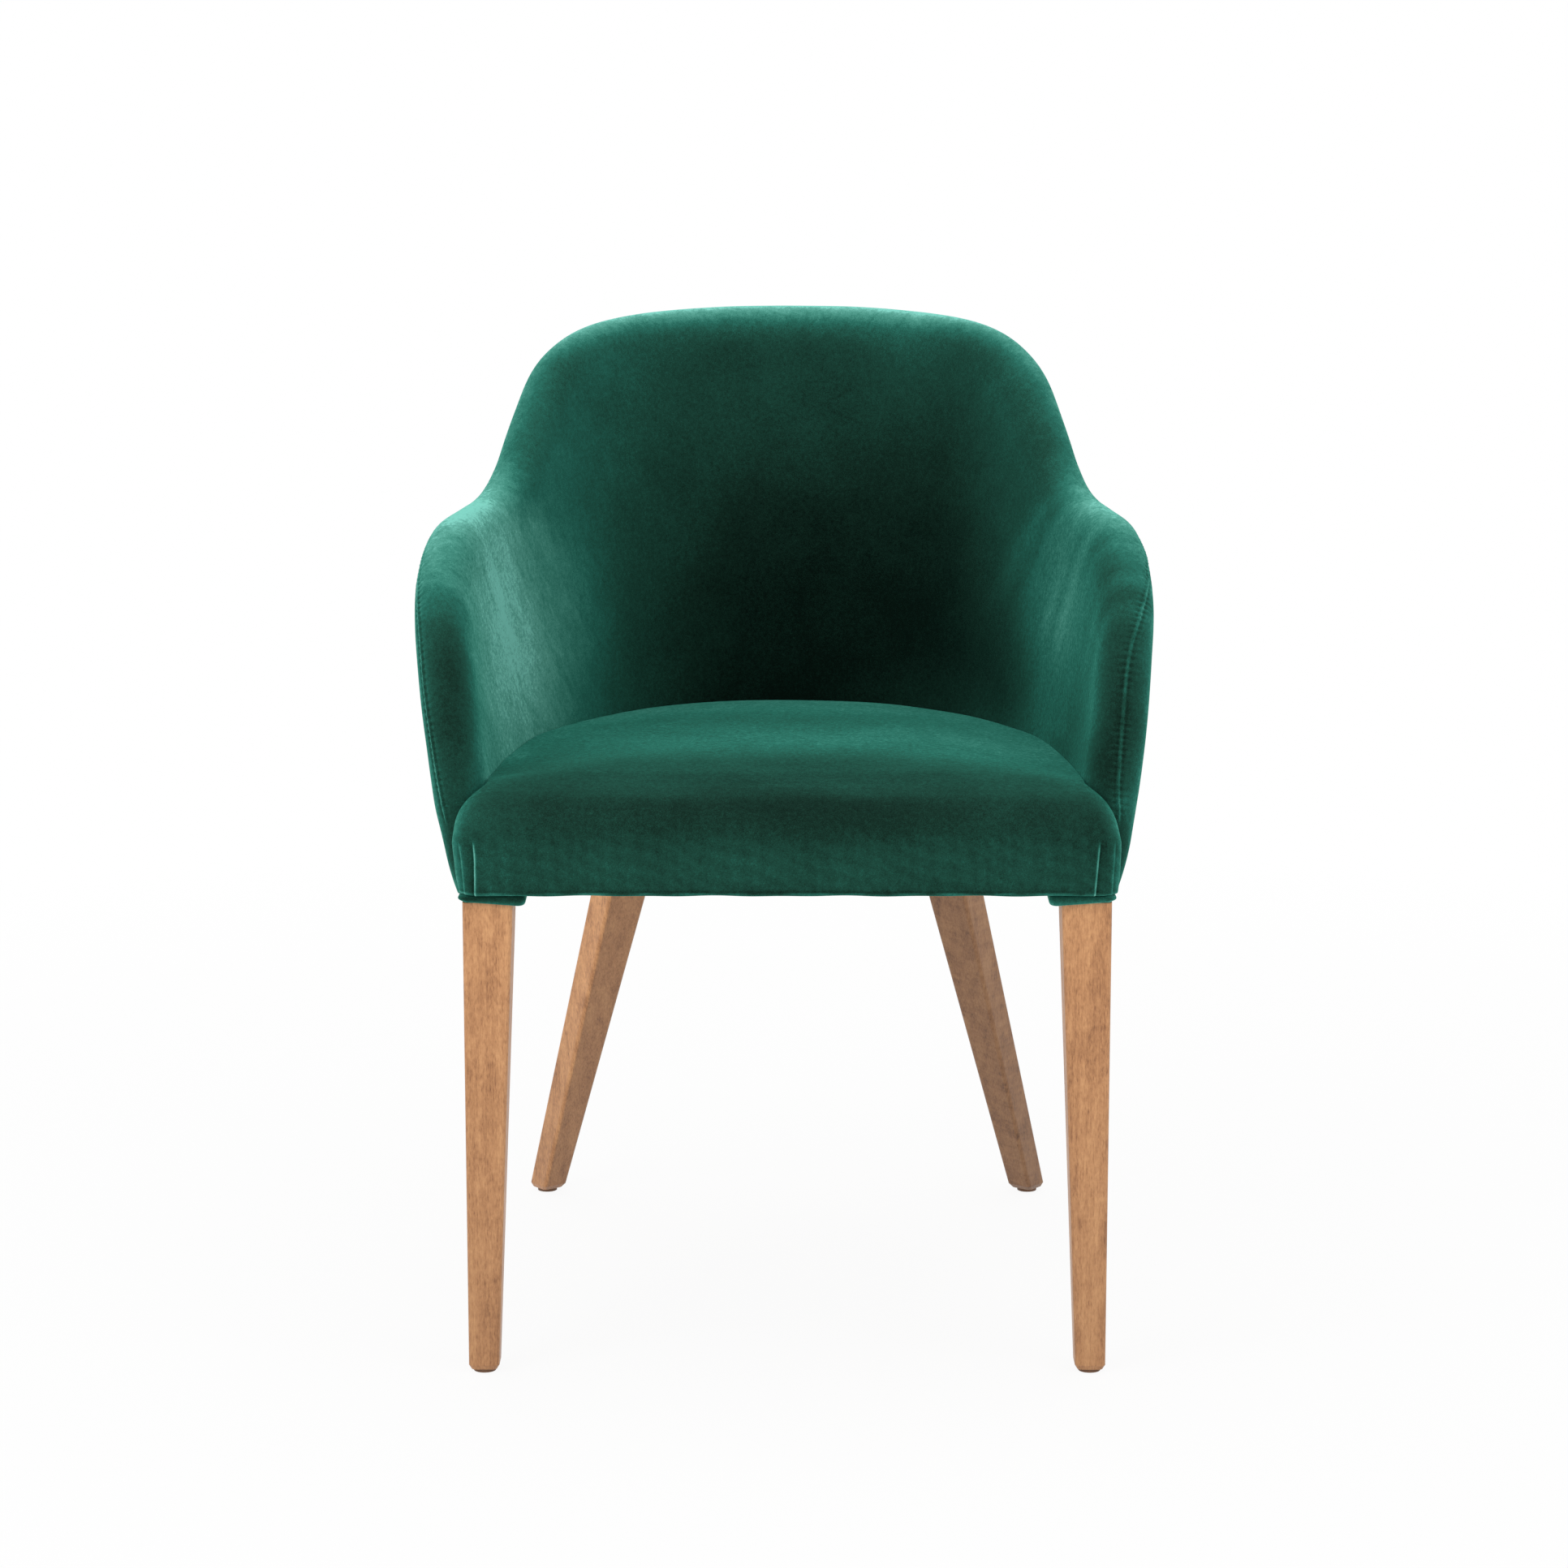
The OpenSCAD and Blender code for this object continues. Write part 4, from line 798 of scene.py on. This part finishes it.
# Velvet pads between the front legs and the seat. Profile: inset, height and droop of each ring
PAD_Z = 388.35 * MM
PAD_MIDDLE = np.array([233.5, -266]) * MM
PAD_HALF = np.array([26, 24]) * MM
PAD_CORNER = 6 * MM
PAD_POINTS = 96
PAD_DROOP = 1.9 * MM
PAD_RAISE = 3.4 * MM
PAD_SIDE, PAD_BACK = (243 * MM, 258 * MM), (-266 * MM, -252 * MM)
PAD_RIPPLE, PAD_RIPPLE_W = 0.25 * MM, 5 * MM
PAD_EDGE_HIGHLIGHT, PAD_EDGE_W = 0.16, 1.6 * MM
PAD_PROFILE = [
    (9, 0, 0), (5, 0, 0.05), (3.3, 0, 0.5), (2.3, 0, 0.9), (1.2, 0.1, 1), (0.3, 0.6, 1),
    (-0.5, 1.6, 0.85), (-0.8, 2.7, 0.6), (-0.7, 3.8, 0.35), (-0.2, 4.8, 0.15), (0.8, 5.6, 0.05),
    (2.4, 6, 0), (6, 6.05, 0),
]


def pad_outline(inset):
    """Rounded rectangle round the pad, drawn in by an inset."""
    half = PAD_HALF - inset
    corner = max(PAD_CORNER - inset, MM)
    angle = np.linspace(0, 2 * np.pi, PAD_POINTS, endpoint=False) + np.pi / PAD_POINTS
    direction = np.stack([np.cos(angle), np.sin(angle)], -1)
    core = half - corner
    return np.sign(direction) * core + corner * direction


def make_pad(side, name):
    rings = []
    for inset, height, droop in PAD_PROFILE:
        x, y = (pad_outline(inset * MM) + PAD_MIDDLE).T
        drop = (1 - rise(y, *PAD_BACK)) * (PAD_DROOP - PAD_RAISE * rise(x, *PAD_SIDE))
        ripple = PAD_RIPPLE * np.sin(x / PAD_RIPPLE_W)
        rings.append(points(side * x, y, PAD_Z + height * MM + droop * (ripple - drop)))
    verts = join(rings)
    starts = [i * PAD_POINTS for i in range(len(rings))]
    faces = []
    for low, high in zip(starts[:-1], starts[1:]):
        for j in range(PAD_POINTS):
            k = (j + 1) % PAD_POINTS
            faces.append([low + j, low + k, high + k, high + j])
    faces.append(list(range(PAD_POINTS))[::-1])
    faces.append(list(range(starts[-1], len(verts))))
    if side < 0:
        faces = [face[::-1] for face in faces]
    # Painted highlight along the pad's lower edge
    nap_and_painted_light = PAD_NAP[side] + PAD_EDGE_HIGHLIGHT * np.exp(-((verts[:, 2] - PAD_Z) / PAD_EDGE_W) ** 2)
    return build_mesh(name, verts, faces, nap_and_painted_light)


# Flat cloth parts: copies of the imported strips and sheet, divided and given their lie
def divided_copy(name, node, step, keep=None):
    """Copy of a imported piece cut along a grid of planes, so that it can bend."""
    shape = bmesh.new()
    shape.from_mesh(frame["nodes"][node].data)
    if keep is not None:
        axis, low, high = keep
        away = [f for f in shape.faces if not low < f.calc_center_median()[axis] < high]
        bmesh.ops.delete(shape, geom=away, context="FACES")
    for axis in (0, 1):
        places = [v.co[axis] for v in shape.verts]
        normal = np.eye(3)[axis]
        for place in np.arange(min(places) + step, max(places), step):
            geometry = shape.verts[:] + shape.edges[:] + shape.faces[:]
            bmesh.ops.bisect_plane(shape, geom=geometry, plane_co=place * normal,
                                   plane_no=normal, dist=MERGE)
    mesh = bpy.data.meshes.new(name)
    shape.to_mesh(mesh)
    shape.free()
    return add_object(name, mesh)


def bend(piece, lift):
    """Moves the vertices of a piece up by lift(x, y), arrays in metres."""
    mesh = piece.data
    places = coordinates(mesh)
    places[:, 2] += lift(places[:, 0], places[:, 1])
    mesh.vertices.foreach_set("co", places.ravel())
    mesh.polygons.foreach_set("use_smooth", np.zeros(len(mesh.polygons), bool))
    mesh.update()


WEB_W, WEB_T = 50 * MM, 1.6 * MM
WEB_CLEAR = 0.1 * MM
WEB_STEP, WEB_BEND = 6 * MM, 0.8 * WEB_W
DUST_STEP = 14 * MM
DUST_SAG, DUST_RIPPLE = 3 * MM, 0.6 * MM
DOWNWARD = -0.9


def strip_places(node, axis):
    """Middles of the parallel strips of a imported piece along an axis."""
    middles, reach = [], -np.inf
    for value in np.unique(coordinates(frame["nodes"][node].data)[:, axis].round(5)):
        if value > reach:
            middles.append(value + WEB_W / 2)
            reach = value + WEB_W + WEB_CLEAR
    return middles


def weave(piece, number, axis, others):
    """Lays a strip over and under the strips that cross it."""
    def lift(x, y):
        run = x if axis else y
        height = 0 * run
        for j, other in enumerate(others):
            over = (number + j) % 2 == (0 if axis else 1)
            want = over * (WEB_T if axis else -WEB_T)
            height = height + want * (1 - rise(np.abs(run - other), WEB_W / 2, WEB_BEND))
        return height
    bend(piece, lift)


def make_webbing():
    """Four strips across and four along, woven over and under each other."""
    across, along = strip_places("webbing_cross", 1), strip_places("webbing_long", 0)
    strips = []
    for node, axis, own, others in (("webbing_cross", 1, across, along),
                                    ("webbing_long", 0, along, across)):
        for i, middle in enumerate(own):
            keep = (axis, middle - WEB_W / 2 - MM, middle + WEB_W / 2 + MM)
            piece = divided_copy(f"{node}_{i + 1}", node, WEB_STEP, keep)
            weave(piece, i, axis, others)
            strips.append((piece, node, axis))
    return strips


def make_dust_cover():
    """Thin cloth under the seat, tight at its staples and slack between them."""
    low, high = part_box("dust_cover")
    middle, half = (low[1] + high[1]) / 2, (high[1] - low[1]) / 2

    def lift(x, y):
        slack_x, slack_y = (np.clip(1 - q ** 2, 0, 1) for q in (x / high[0], (y - middle) / half))
        ripple = np.sin(x / (23 * MM) + 2 * y / (61 * MM)) * np.sin(y / (29 * MM))
        return -slack_x * slack_y * (DUST_SAG + DUST_RIPPLE * ripple)

    flat = frame["nodes"]["dust_cover"].data
    area = sum(f.area for f in flat.polygons if f.normal.z < DOWNWARD)
    piece = divided_copy("dust_sheet", "dust_cover", DUST_STEP)
    bend(piece, lift)
    return piece, (high[0] - low[0], high[1] - low[1]), area


# Materials
NOISE_SPAN = (0.3, 0.7)


class Graph:
    """A material and short ways to wire its nodes."""

    def __init__(self, name):
        self.material = bpy.data.materials.new(name)
        self.material.use_nodes = True
        self.tree = self.material.node_tree
        self.shader = self.tree.nodes["Principled BSDF"]
        self.place = self.add("TexCoord").outputs["Object"]

    def fill(self, node, inputs):
        """Sets or links inputs, given by name or, as i0, i1 and so on, by number."""
        for key, value in inputs.items():
            socket = node.inputs[int(key[1:]) if key[1:].isdigit() else key.replace("_", " ")]
            if isinstance(value, bpy.types.NodeSocket):
                self.tree.links.new(value, socket)
            else:
                socket.default_value = value

    def add(self, kind, settings=None, **inputs):
        node = self.tree.nodes.new("ShaderNode" + kind)
        for key, value in (settings or {}).items():
            setattr(node, key, value)
        self.fill(node, inputs)
        return node

    def surface(self, **inputs):
        self.fill(self.shader, inputs)

    def math(self, operation, a, b):
        return self.add("Math", {"operation": operation}, i0=a, i1=b).outputs[0]

    def scaled(self, scale, turn=(0, 0, 0)):
        """Object coordinates turned, then scaled along each axis."""
        turned = self.add("Mapping", i0=self.place, Rotation=turn)
        return self.add("Mapping", i0=turned.outputs[0], Scale=scale).outputs[0]

    def noise(self, vector, scale, detail, roughness, distortion=0.0):
        node = self.add("TexNoise", Vector=vector, Scale=scale, Detail=detail,
                        Roughness=roughness, Distortion=distortion)
        return node.outputs["Fac"]

    def spread(self, value, low, high, to_low, to_high):
        """Value moved from one range to another and held inside it."""
        node = self.add("MapRange", Value=value, From_Min=low, From_Max=high, To_Min=to_low,
                        To_Max=to_high)
        return node.outputs[0]

    def vary(self, noise, to_low, to_high):
        """The span that most of a noise lies in, moved to a range."""
        return self.spread(noise, *NOISE_SPAN, to_low, to_high)

    def ramp(self, value, stops):
        node = self.add("ValToRGB", Fac=value)
        ramp = node.color_ramp
        for i, (place, color) in enumerate(stops):
            element = ramp.elements[i] if i < 2 else ramp.elements.new(place)
            element.position = place
            element.color = (*color, 1)
        return node.outputs[0]

    def toned(self, color, tone):
        """Colour times a grey tone."""
        grey = self.add("CombineColor", Red=tone, Green=tone, Blue=tone).outputs[0]
        settings = {"data_type": "RGBA", "blend_type": "MULTIPLY"}
        return self.add("Mix", settings, i0=1.0, i6=color, i7=grey).outputs[2]

    def bump(self, height, distance, strength):
        node = self.add("Bump", Height=height, Distance=distance, Strength=strength)
        return node.outputs[0]


# Base colour ramp of the velvet: its own dark green, lightened towards bright teal by painted sheen
# and painted light
VELVET_STOPS = [
    (0, (0.0012, 0.006, 0.0038)),
    (0.18, (0.0062, 0.027, 0.018)),
    (0.378, (0.0125, 0.07, 0.049)),
    (0.558, (0.02, 0.145, 0.109)),
    (0.72, (0.055, 0.25, 0.195)),
    (0.9, (0.12, 0.39, 0.32)),
    (1, (0.21, 0.6, 0.51)),
]
VELVET_BASE = 0.29
FACING_GAIN = 0.52
RAMP_SHARE = 0.9
BRUSH_TURN = (-0.6, 0, 0)

# Noises of the velvet: scale, detail, roughness and distortion, after a stretch for those that
# run with the brush, and how far each moves the tone
CLOUDS, CLOUD_DEPTH = (16, 3, 0.55), 0.04
LINES = 0.2, (130, 4, 0.6, 0.3)
WISPS, WISP_SHARE = (0.25, (42, 3, 0.6, 0.5)), 0.8
LINE_DEPTH = (0.1, 0.6, 0.015, 0.065)
TUFTS, TUFT_DEPTH, TUFT_EDGE = (300, 3, 0.75), 0.065, (0.5, 0.9, 1, 3)
PILE, PILE_DEPTH = (1300, 1, 0.5), (0.25, 0.75, -0.09, 0.09)


def velvet_material(name):
    """Cotton velvet: near black along the pile, bright teal across it, clouded by brushing.
    The bright teal is painted sheen in the base colour, rising where the surface turns from the
    view.
    """
    g = Graph(name)
    facing = g.add("LayerWeight", Blend=0.5).outputs["Facing"]
    nap_and_painted_light = g.add("Attribute", {"attribute_name": "nap_and_painted_light"}).outputs["Fac"]
    clouds = g.vary(g.noise(g.place, *CLOUDS), -CLOUD_DEPTH, CLOUD_DEPTH)
    lines, wisps = (g.vary(g.noise(g.scaled((1, 1, stretch), BRUSH_TURN), *noise), -1, 1)
                    for stretch, noise in (LINES, WISPS))
    lines = g.math("ADD", lines, g.math("MULTIPLY", wisps, WISP_SHARE))
    # Painted sheen: the tone rises where the surface turns from the view; the attribute adds the
    # pile's lie with its painted light and shade
    lit = g.math("ADD", g.math("MULTIPLY", facing, FACING_GAIN), nap_and_painted_light)
    strokes = g.math("MULTIPLY", lines, g.spread(lit, *LINE_DEPTH))
    tufts = g.vary(g.noise(g.place, *TUFTS), -TUFT_DEPTH, TUFT_DEPTH)
    tufts = g.math("MULTIPLY", tufts, g.spread(facing, *TUFT_EDGE))
    pile = g.noise(g.place, *PILE)
    specks = g.spread(pile, *PILE_DEPTH)
    value = g.math("ADD", lit, VELVET_BASE)
    for part in (clouds, strokes, tufts, specks):
        value = g.math("ADD", value, part)
    value = g.math("MULTIPLY", value, RAMP_SHARE)
    g.surface(Base_Color=g.ramp(value, VELVET_STOPS), Roughness=0.9, Specular_IOR_Level=0.05,
              Sheen_Weight=0.3, Sheen_Roughness=0.4, Sheen_Tint=(0.08, 0.62, 0.46, 1),
              Normal=g.bump(pile, 0.0003, 0.5))
    return g.material


WOOD_STOPS = [
    (0, (0.225, 0.088, 0.03)),
    (0.35, (0.4, 0.178, 0.068)),
    (0.6, (0.52, 0.246, 0.1)),
    (1, (0.67, 0.345, 0.15)),
]
WOOD_BASE = 0.61

# Noises of the wood: stretch, then scale, detail, roughness and distortion, then depth
FIBRES = (1, 1, 0.03), (700, 3, 0.6), 0.6
FLECKS = (1, 1, 0.16), (1100, 1, 0.4), (0.56, 0.72, 0, -0.25)
FIGURE = (0.2, 0.2, 1), (120, 3, 0.6, 0.6)
STAINS = [
    ((1, 1, 0.06), (90, 2, 0.5, 0.6), 0.14),
    ((1, 1, 0.4), (60, 4, 0.65, 0.8), 0.2),
    ((1, 1, 0.35), (520, 3, 0.7), 0.2),
]
# Tone of the legs by height: darker towards the foot, paler towards the top
HEIGHT_TONE_Z, HEIGHT_TONE_LOW, HEIGHT_TONE_HIGH = (0.04, 0.42), 0.86, 1.13
INWARD = (0.1, 0.5)


def wood_material(name, turn, side, shade, inner, flame):
    """Stained beech, paler towards its top; painted light and shade on its face to the chair's
    middle.
    """
    g = Graph(name)
    fibres = g.noise(g.scaled(FIBRES[0], turn), *FIBRES[1])
    dark = g.spread(g.noise(g.scaled(FLECKS[0], turn), *FLECKS[1]), *FLECKS[2])
    value = g.math("MULTIPLY", g.math("SUBTRACT", fibres, 0.5), FIBRES[2])
    for stretch, noise, depth in (*STAINS, (*FIGURE, flame)):
        part = g.vary(g.noise(g.scaled(stretch, turn), *noise), -depth, depth)
        value = g.math("ADD", value, part)
    value = g.math("ADD", value, dark)
    color = g.ramp(g.math("ADD", value, WOOD_BASE), WOOD_STOPS)
    height = g.add("SeparateXYZ", Vector=g.place).outputs["Z"]
    tone = g.spread(height, *HEIGHT_TONE_Z, HEIGHT_TONE_LOW * shade, HEIGHT_TONE_HIGH * shade)
    normal = g.add("TexCoord").outputs["Normal"]
    inward = g.math("MULTIPLY", g.add("SeparateXYZ", Vector=normal).outputs["X"], -side)
    # Painted light and shade on the face towards the chair's middle
    tone = g.math("MULTIPLY", tone, g.spread(inward, *INWARD, 1.0, inner))
    g.surface(Base_Color=g.toned(color, tone), Roughness=g.vary(fibres, 0.38, 0.52),
              Normal=g.bump(g.math("ADD", fibres, dark), 0.0002, 0.35),
              Coat_Weight=0.15, Coat_Roughness=0.3)
    return g.material


UNEVEN = (0.85, 1.15)


def plain_material(name, color, roughness, metallic=0.0, grain=300.0):
    """A plain surface with a little uneven colour and roughness."""
    g = Graph(name)
    mottle = g.noise(g.place, grain, 3, 0.6)
    g.surface(Base_Color=g.toned((*color, 1), g.vary(mottle, *UNEVEN)), Metallic=metallic,
              Roughness=g.vary(mottle, *(roughness * share for share in UNEVEN)),
              Normal=g.bump(mottle, 0.0002, 0.3))
    return g.material


def grained_material(name, color, roughness, stretch):
    """Bare wood of the hidden frame, its fibres stretched along one axis."""
    g = Graph(name)
    fibres = g.noise(g.scaled(stretch), 500, 3, 0.6)
    g.surface(Base_Color=g.toned((*color, 1), g.vary(fibres, 0.82, 1.08)), Roughness=roughness,
              Normal=g.bump(fibres, 0.0002, 0.3))
    return g.material


def dress(piece, material):
    piece.data.materials.clear()
    piece.data.materials.append(material)


def place(piece, material, slot, *stands_for):
    """Gives a piece its finish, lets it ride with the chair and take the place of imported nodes."""
    dress(piece, material)
    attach(piece, "root")
    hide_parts(*stands_for)


velvet = velvet_material("emerald_velvet")
webbing_black = plain_material("elastic_webbing", (0.012, 0.012, 0.014), 0.85, 0.0, 900)
dust_black = plain_material("dust_cloth", (0.01, 0.01, 0.011), 0.9, 0.0, 900)

for piece, stands_for in (
    (make_inside_cover(), ("inside_cover", "inside_foam")),
    (make_outside_cover(), ("outside_cover", "outside_padding")),
    (make_seat_cover(), ("seat_cover", "seat_foam", "seat_felt")),
    (make_pad(-1, "velvet_pad_left"), ("front_pad_left",)),
    (make_pad(1, "velvet_pad_right"), ("front_pad_right",)),
):
    place(piece, velvet, "velvet", *stands_for)

for piece, node, axis in make_webbing():
    place(piece, webbing_black, "webbing", node)
    span = float(np.ptp(coordinates(piece.data)[:, 1 - axis]))

dust_sheet, dust_flat, dust_area = make_dust_cover()
place(dust_sheet, dust_black, "dust_cloth", "dust_cover")


# Each leg's finish: turn of its grain, side, shade (its own tone together with painted light and
# shade), painted light and shade of its inner face, strength of its figure
REAR_TURN = math.radians(9)
LEG_LOOKS = {
    "front_leg_left": ((0, 0, 0.4), -1, 1.0, 1.0, 0.05),
    "front_leg_right": ((0, 0, 2.1), 1, 1.0, 1.0, 0.05),
    "rear_leg_left": ((-REAR_TURN, REAR_TURN, 1.2), -1, 1.2, 0.7, 0.05),
    "rear_leg_right": ((-REAR_TURN, -REAR_TURN, 2.9), 1, 0.59, 1.08, 0.2),
}
FINISHES = {
    "steel": plain_material("zinc_steel", (0.6, 0.61, 0.63), 0.35, 1.0),
    "nylon": plain_material("brown_nylon", (0.17, 0.085, 0.042), 0.6),
    "plywood": grained_material("bent_plywood", (0.56, 0.36, 0.19), 0.6, (0.05, 1, 1)),
    "frame_wood": grained_material("bare_beech", (0.62, 0.44, 0.25), 0.6, (0.05, 1, 1)),
    "dowel_wood": grained_material("turned_beech", (0.58, 0.38, 0.2), 0.55, (1, 0.05, 1)),
}
slots = {part["node"]: part["material_slot"] for part in frame["record"]["subparts"]}
for name, node in frame["nodes"].items():
    if name in LEG_LOOKS:
        dress(node, wood_material(name + "_wood", *LEG_LOOKS[name]))
    elif slots.get(name) in FINISHES:
        dress(node, FINISHES[slots[name]])


# Stage, light and camera
FLOOR_HALF = 12
WHITE_FROM, WHITE_BY, WHITE_NEAR = 0.5, 2.0, 0.92
WORLD_LIGHT = 0.62

# Lamps, all aimed at the middle of the chair: place, width and power
LAMP_AIM = (0, 0, 0.5)
LAMPS = {
    "key": ((-2.2, -2.3, 1.9), 1.8, 32),
    "fill": ((2.2, -2.0, 1.6), 2.0, 17),
    "top": ((0, 0.2, 2.8), 2.0, 20),
}

# The camera stands in front of the front legs, at a distance, and looks down by a pitch
LEG_SETBACK = 8 * MM
CAMERA_AWAY, CAMERA_Z = 3.0, 1.0105
PITCH = math.radians(9.96)
FOCAL_PX, FRAME_PX = 4776, 1932
CHAIR_X_PX, CENTRE_PX = 970, 966
SENSOR_MM, CLIP_END = 36, 50


def background_rays(tree):
    """1 for the rays that see the background: from the camera, mirrored, or through glass."""
    path = tree.nodes.new("ShaderNodeLightPath")
    total = path.outputs["Is Camera Ray"]
    for kind in ("Is Glossy Ray", "Is Transmission Ray"):
        node = tree.nodes.new("ShaderNodeMath")
        node.operation = "MAXIMUM"
        tree.links.new(total, node.inputs[0])
        tree.links.new(path.outputs[kind], node.inputs[1])
        total = node.outputs[0]
    return total


def make_floor():
    """A pale floor that takes a soft shadow, runs out into white and is clear from below."""
    corners = FLOOR_HALF * np.array([(-1, -1, 0), (1, -1, 0), (1, 1, 0), (-1, 1, 0)])
    floor = build_mesh("floor", corners, [(0, 1, 2, 3)])
    g = Graph("floor_white")
    g.surface(Base_Color=(0.86, 0.86, 0.86, 1), Roughness=0.9)
    away = g.add("VectorMath", {"operation": "LENGTH"}, i0=g.place).outputs["Value"]
    share = g.spread(away, WHITE_FROM, WHITE_BY, WHITE_NEAR, 1.0)
    seen = background_rays(g.tree)
    glow = g.add("Emission", Color=(1, 1, 1, 1), Strength=1.0).outputs[0]
    below = g.add("NewGeometry").outputs["Backfacing"]
    clear = g.add("BsdfTransparent").outputs[0]
    surface = g.shader.outputs[0]
    for part, other in ((share, glow), (below, clear)):
        part = g.math("MULTIPLY", part, seen)
        surface = g.add("MixShader", i0=part, i1=surface, i2=other).outputs[0]
    g.tree.links.new(surface, g.tree.nodes["Material Output"].inputs["Surface"])
    floor.data.materials.append(g.material)


def make_world():
    """Even light from all round, and plain white where the camera looks past the floor."""
    world = bpy.data.worlds.new("studio")
    world.use_nodes = True
    tree = world.node_tree
    background = tree.nodes["Background"]
    strength = tree.nodes.new("ShaderNodeMapRange")
    strength.inputs["To Min"].default_value = WORLD_LIGHT
    strength.inputs["To Max"].default_value = 1.0
    tree.links.new(background_rays(tree), strength.inputs["Value"])
    tree.links.new(strength.outputs[0], background.inputs["Strength"])
    background.inputs["Color"].default_value = (1, 1, 1, 1)
    bpy.context.scene.world = world


def make_lamp(name, place, size, power):
    lamp = bpy.data.lights.new(name, "AREA")
    lamp.shape = "SQUARE"
    lamp.size = size
    lamp.energy = power
    piece = add_object(name, lamp)
    piece.location = place
    aim = Vector(np.subtract(LAMP_AIM, place))
    piece.rotation_euler = aim.to_track_quat("-Z", "Y").to_euler()


def make_camera():
    camera = bpy.data.cameras.new("camera")
    camera.sensor_width = SENSOR_MM
    camera.lens = SENSOR_MM * FOCAL_PX / FRAME_PX
    camera.clip_end = CLIP_END
    piece = add_object("camera", camera)
    piece.location = (0, FRONT_Y + LEG_SETBACK - CAMERA_AWAY, CAMERA_Z)
    aside = math.atan((CHAIR_X_PX - CENTRE_PX) / FOCAL_PX)
    piece.rotation_euler = (math.pi / 2 - PITCH, 0, aside)
    bpy.context.scene.camera = piece


make_floor()
make_world()
for name, lamp in LAMPS.items():
    make_lamp(name, *lamp)
make_camera()
bpy.context.scene.view_settings.view_transform = "Standard"
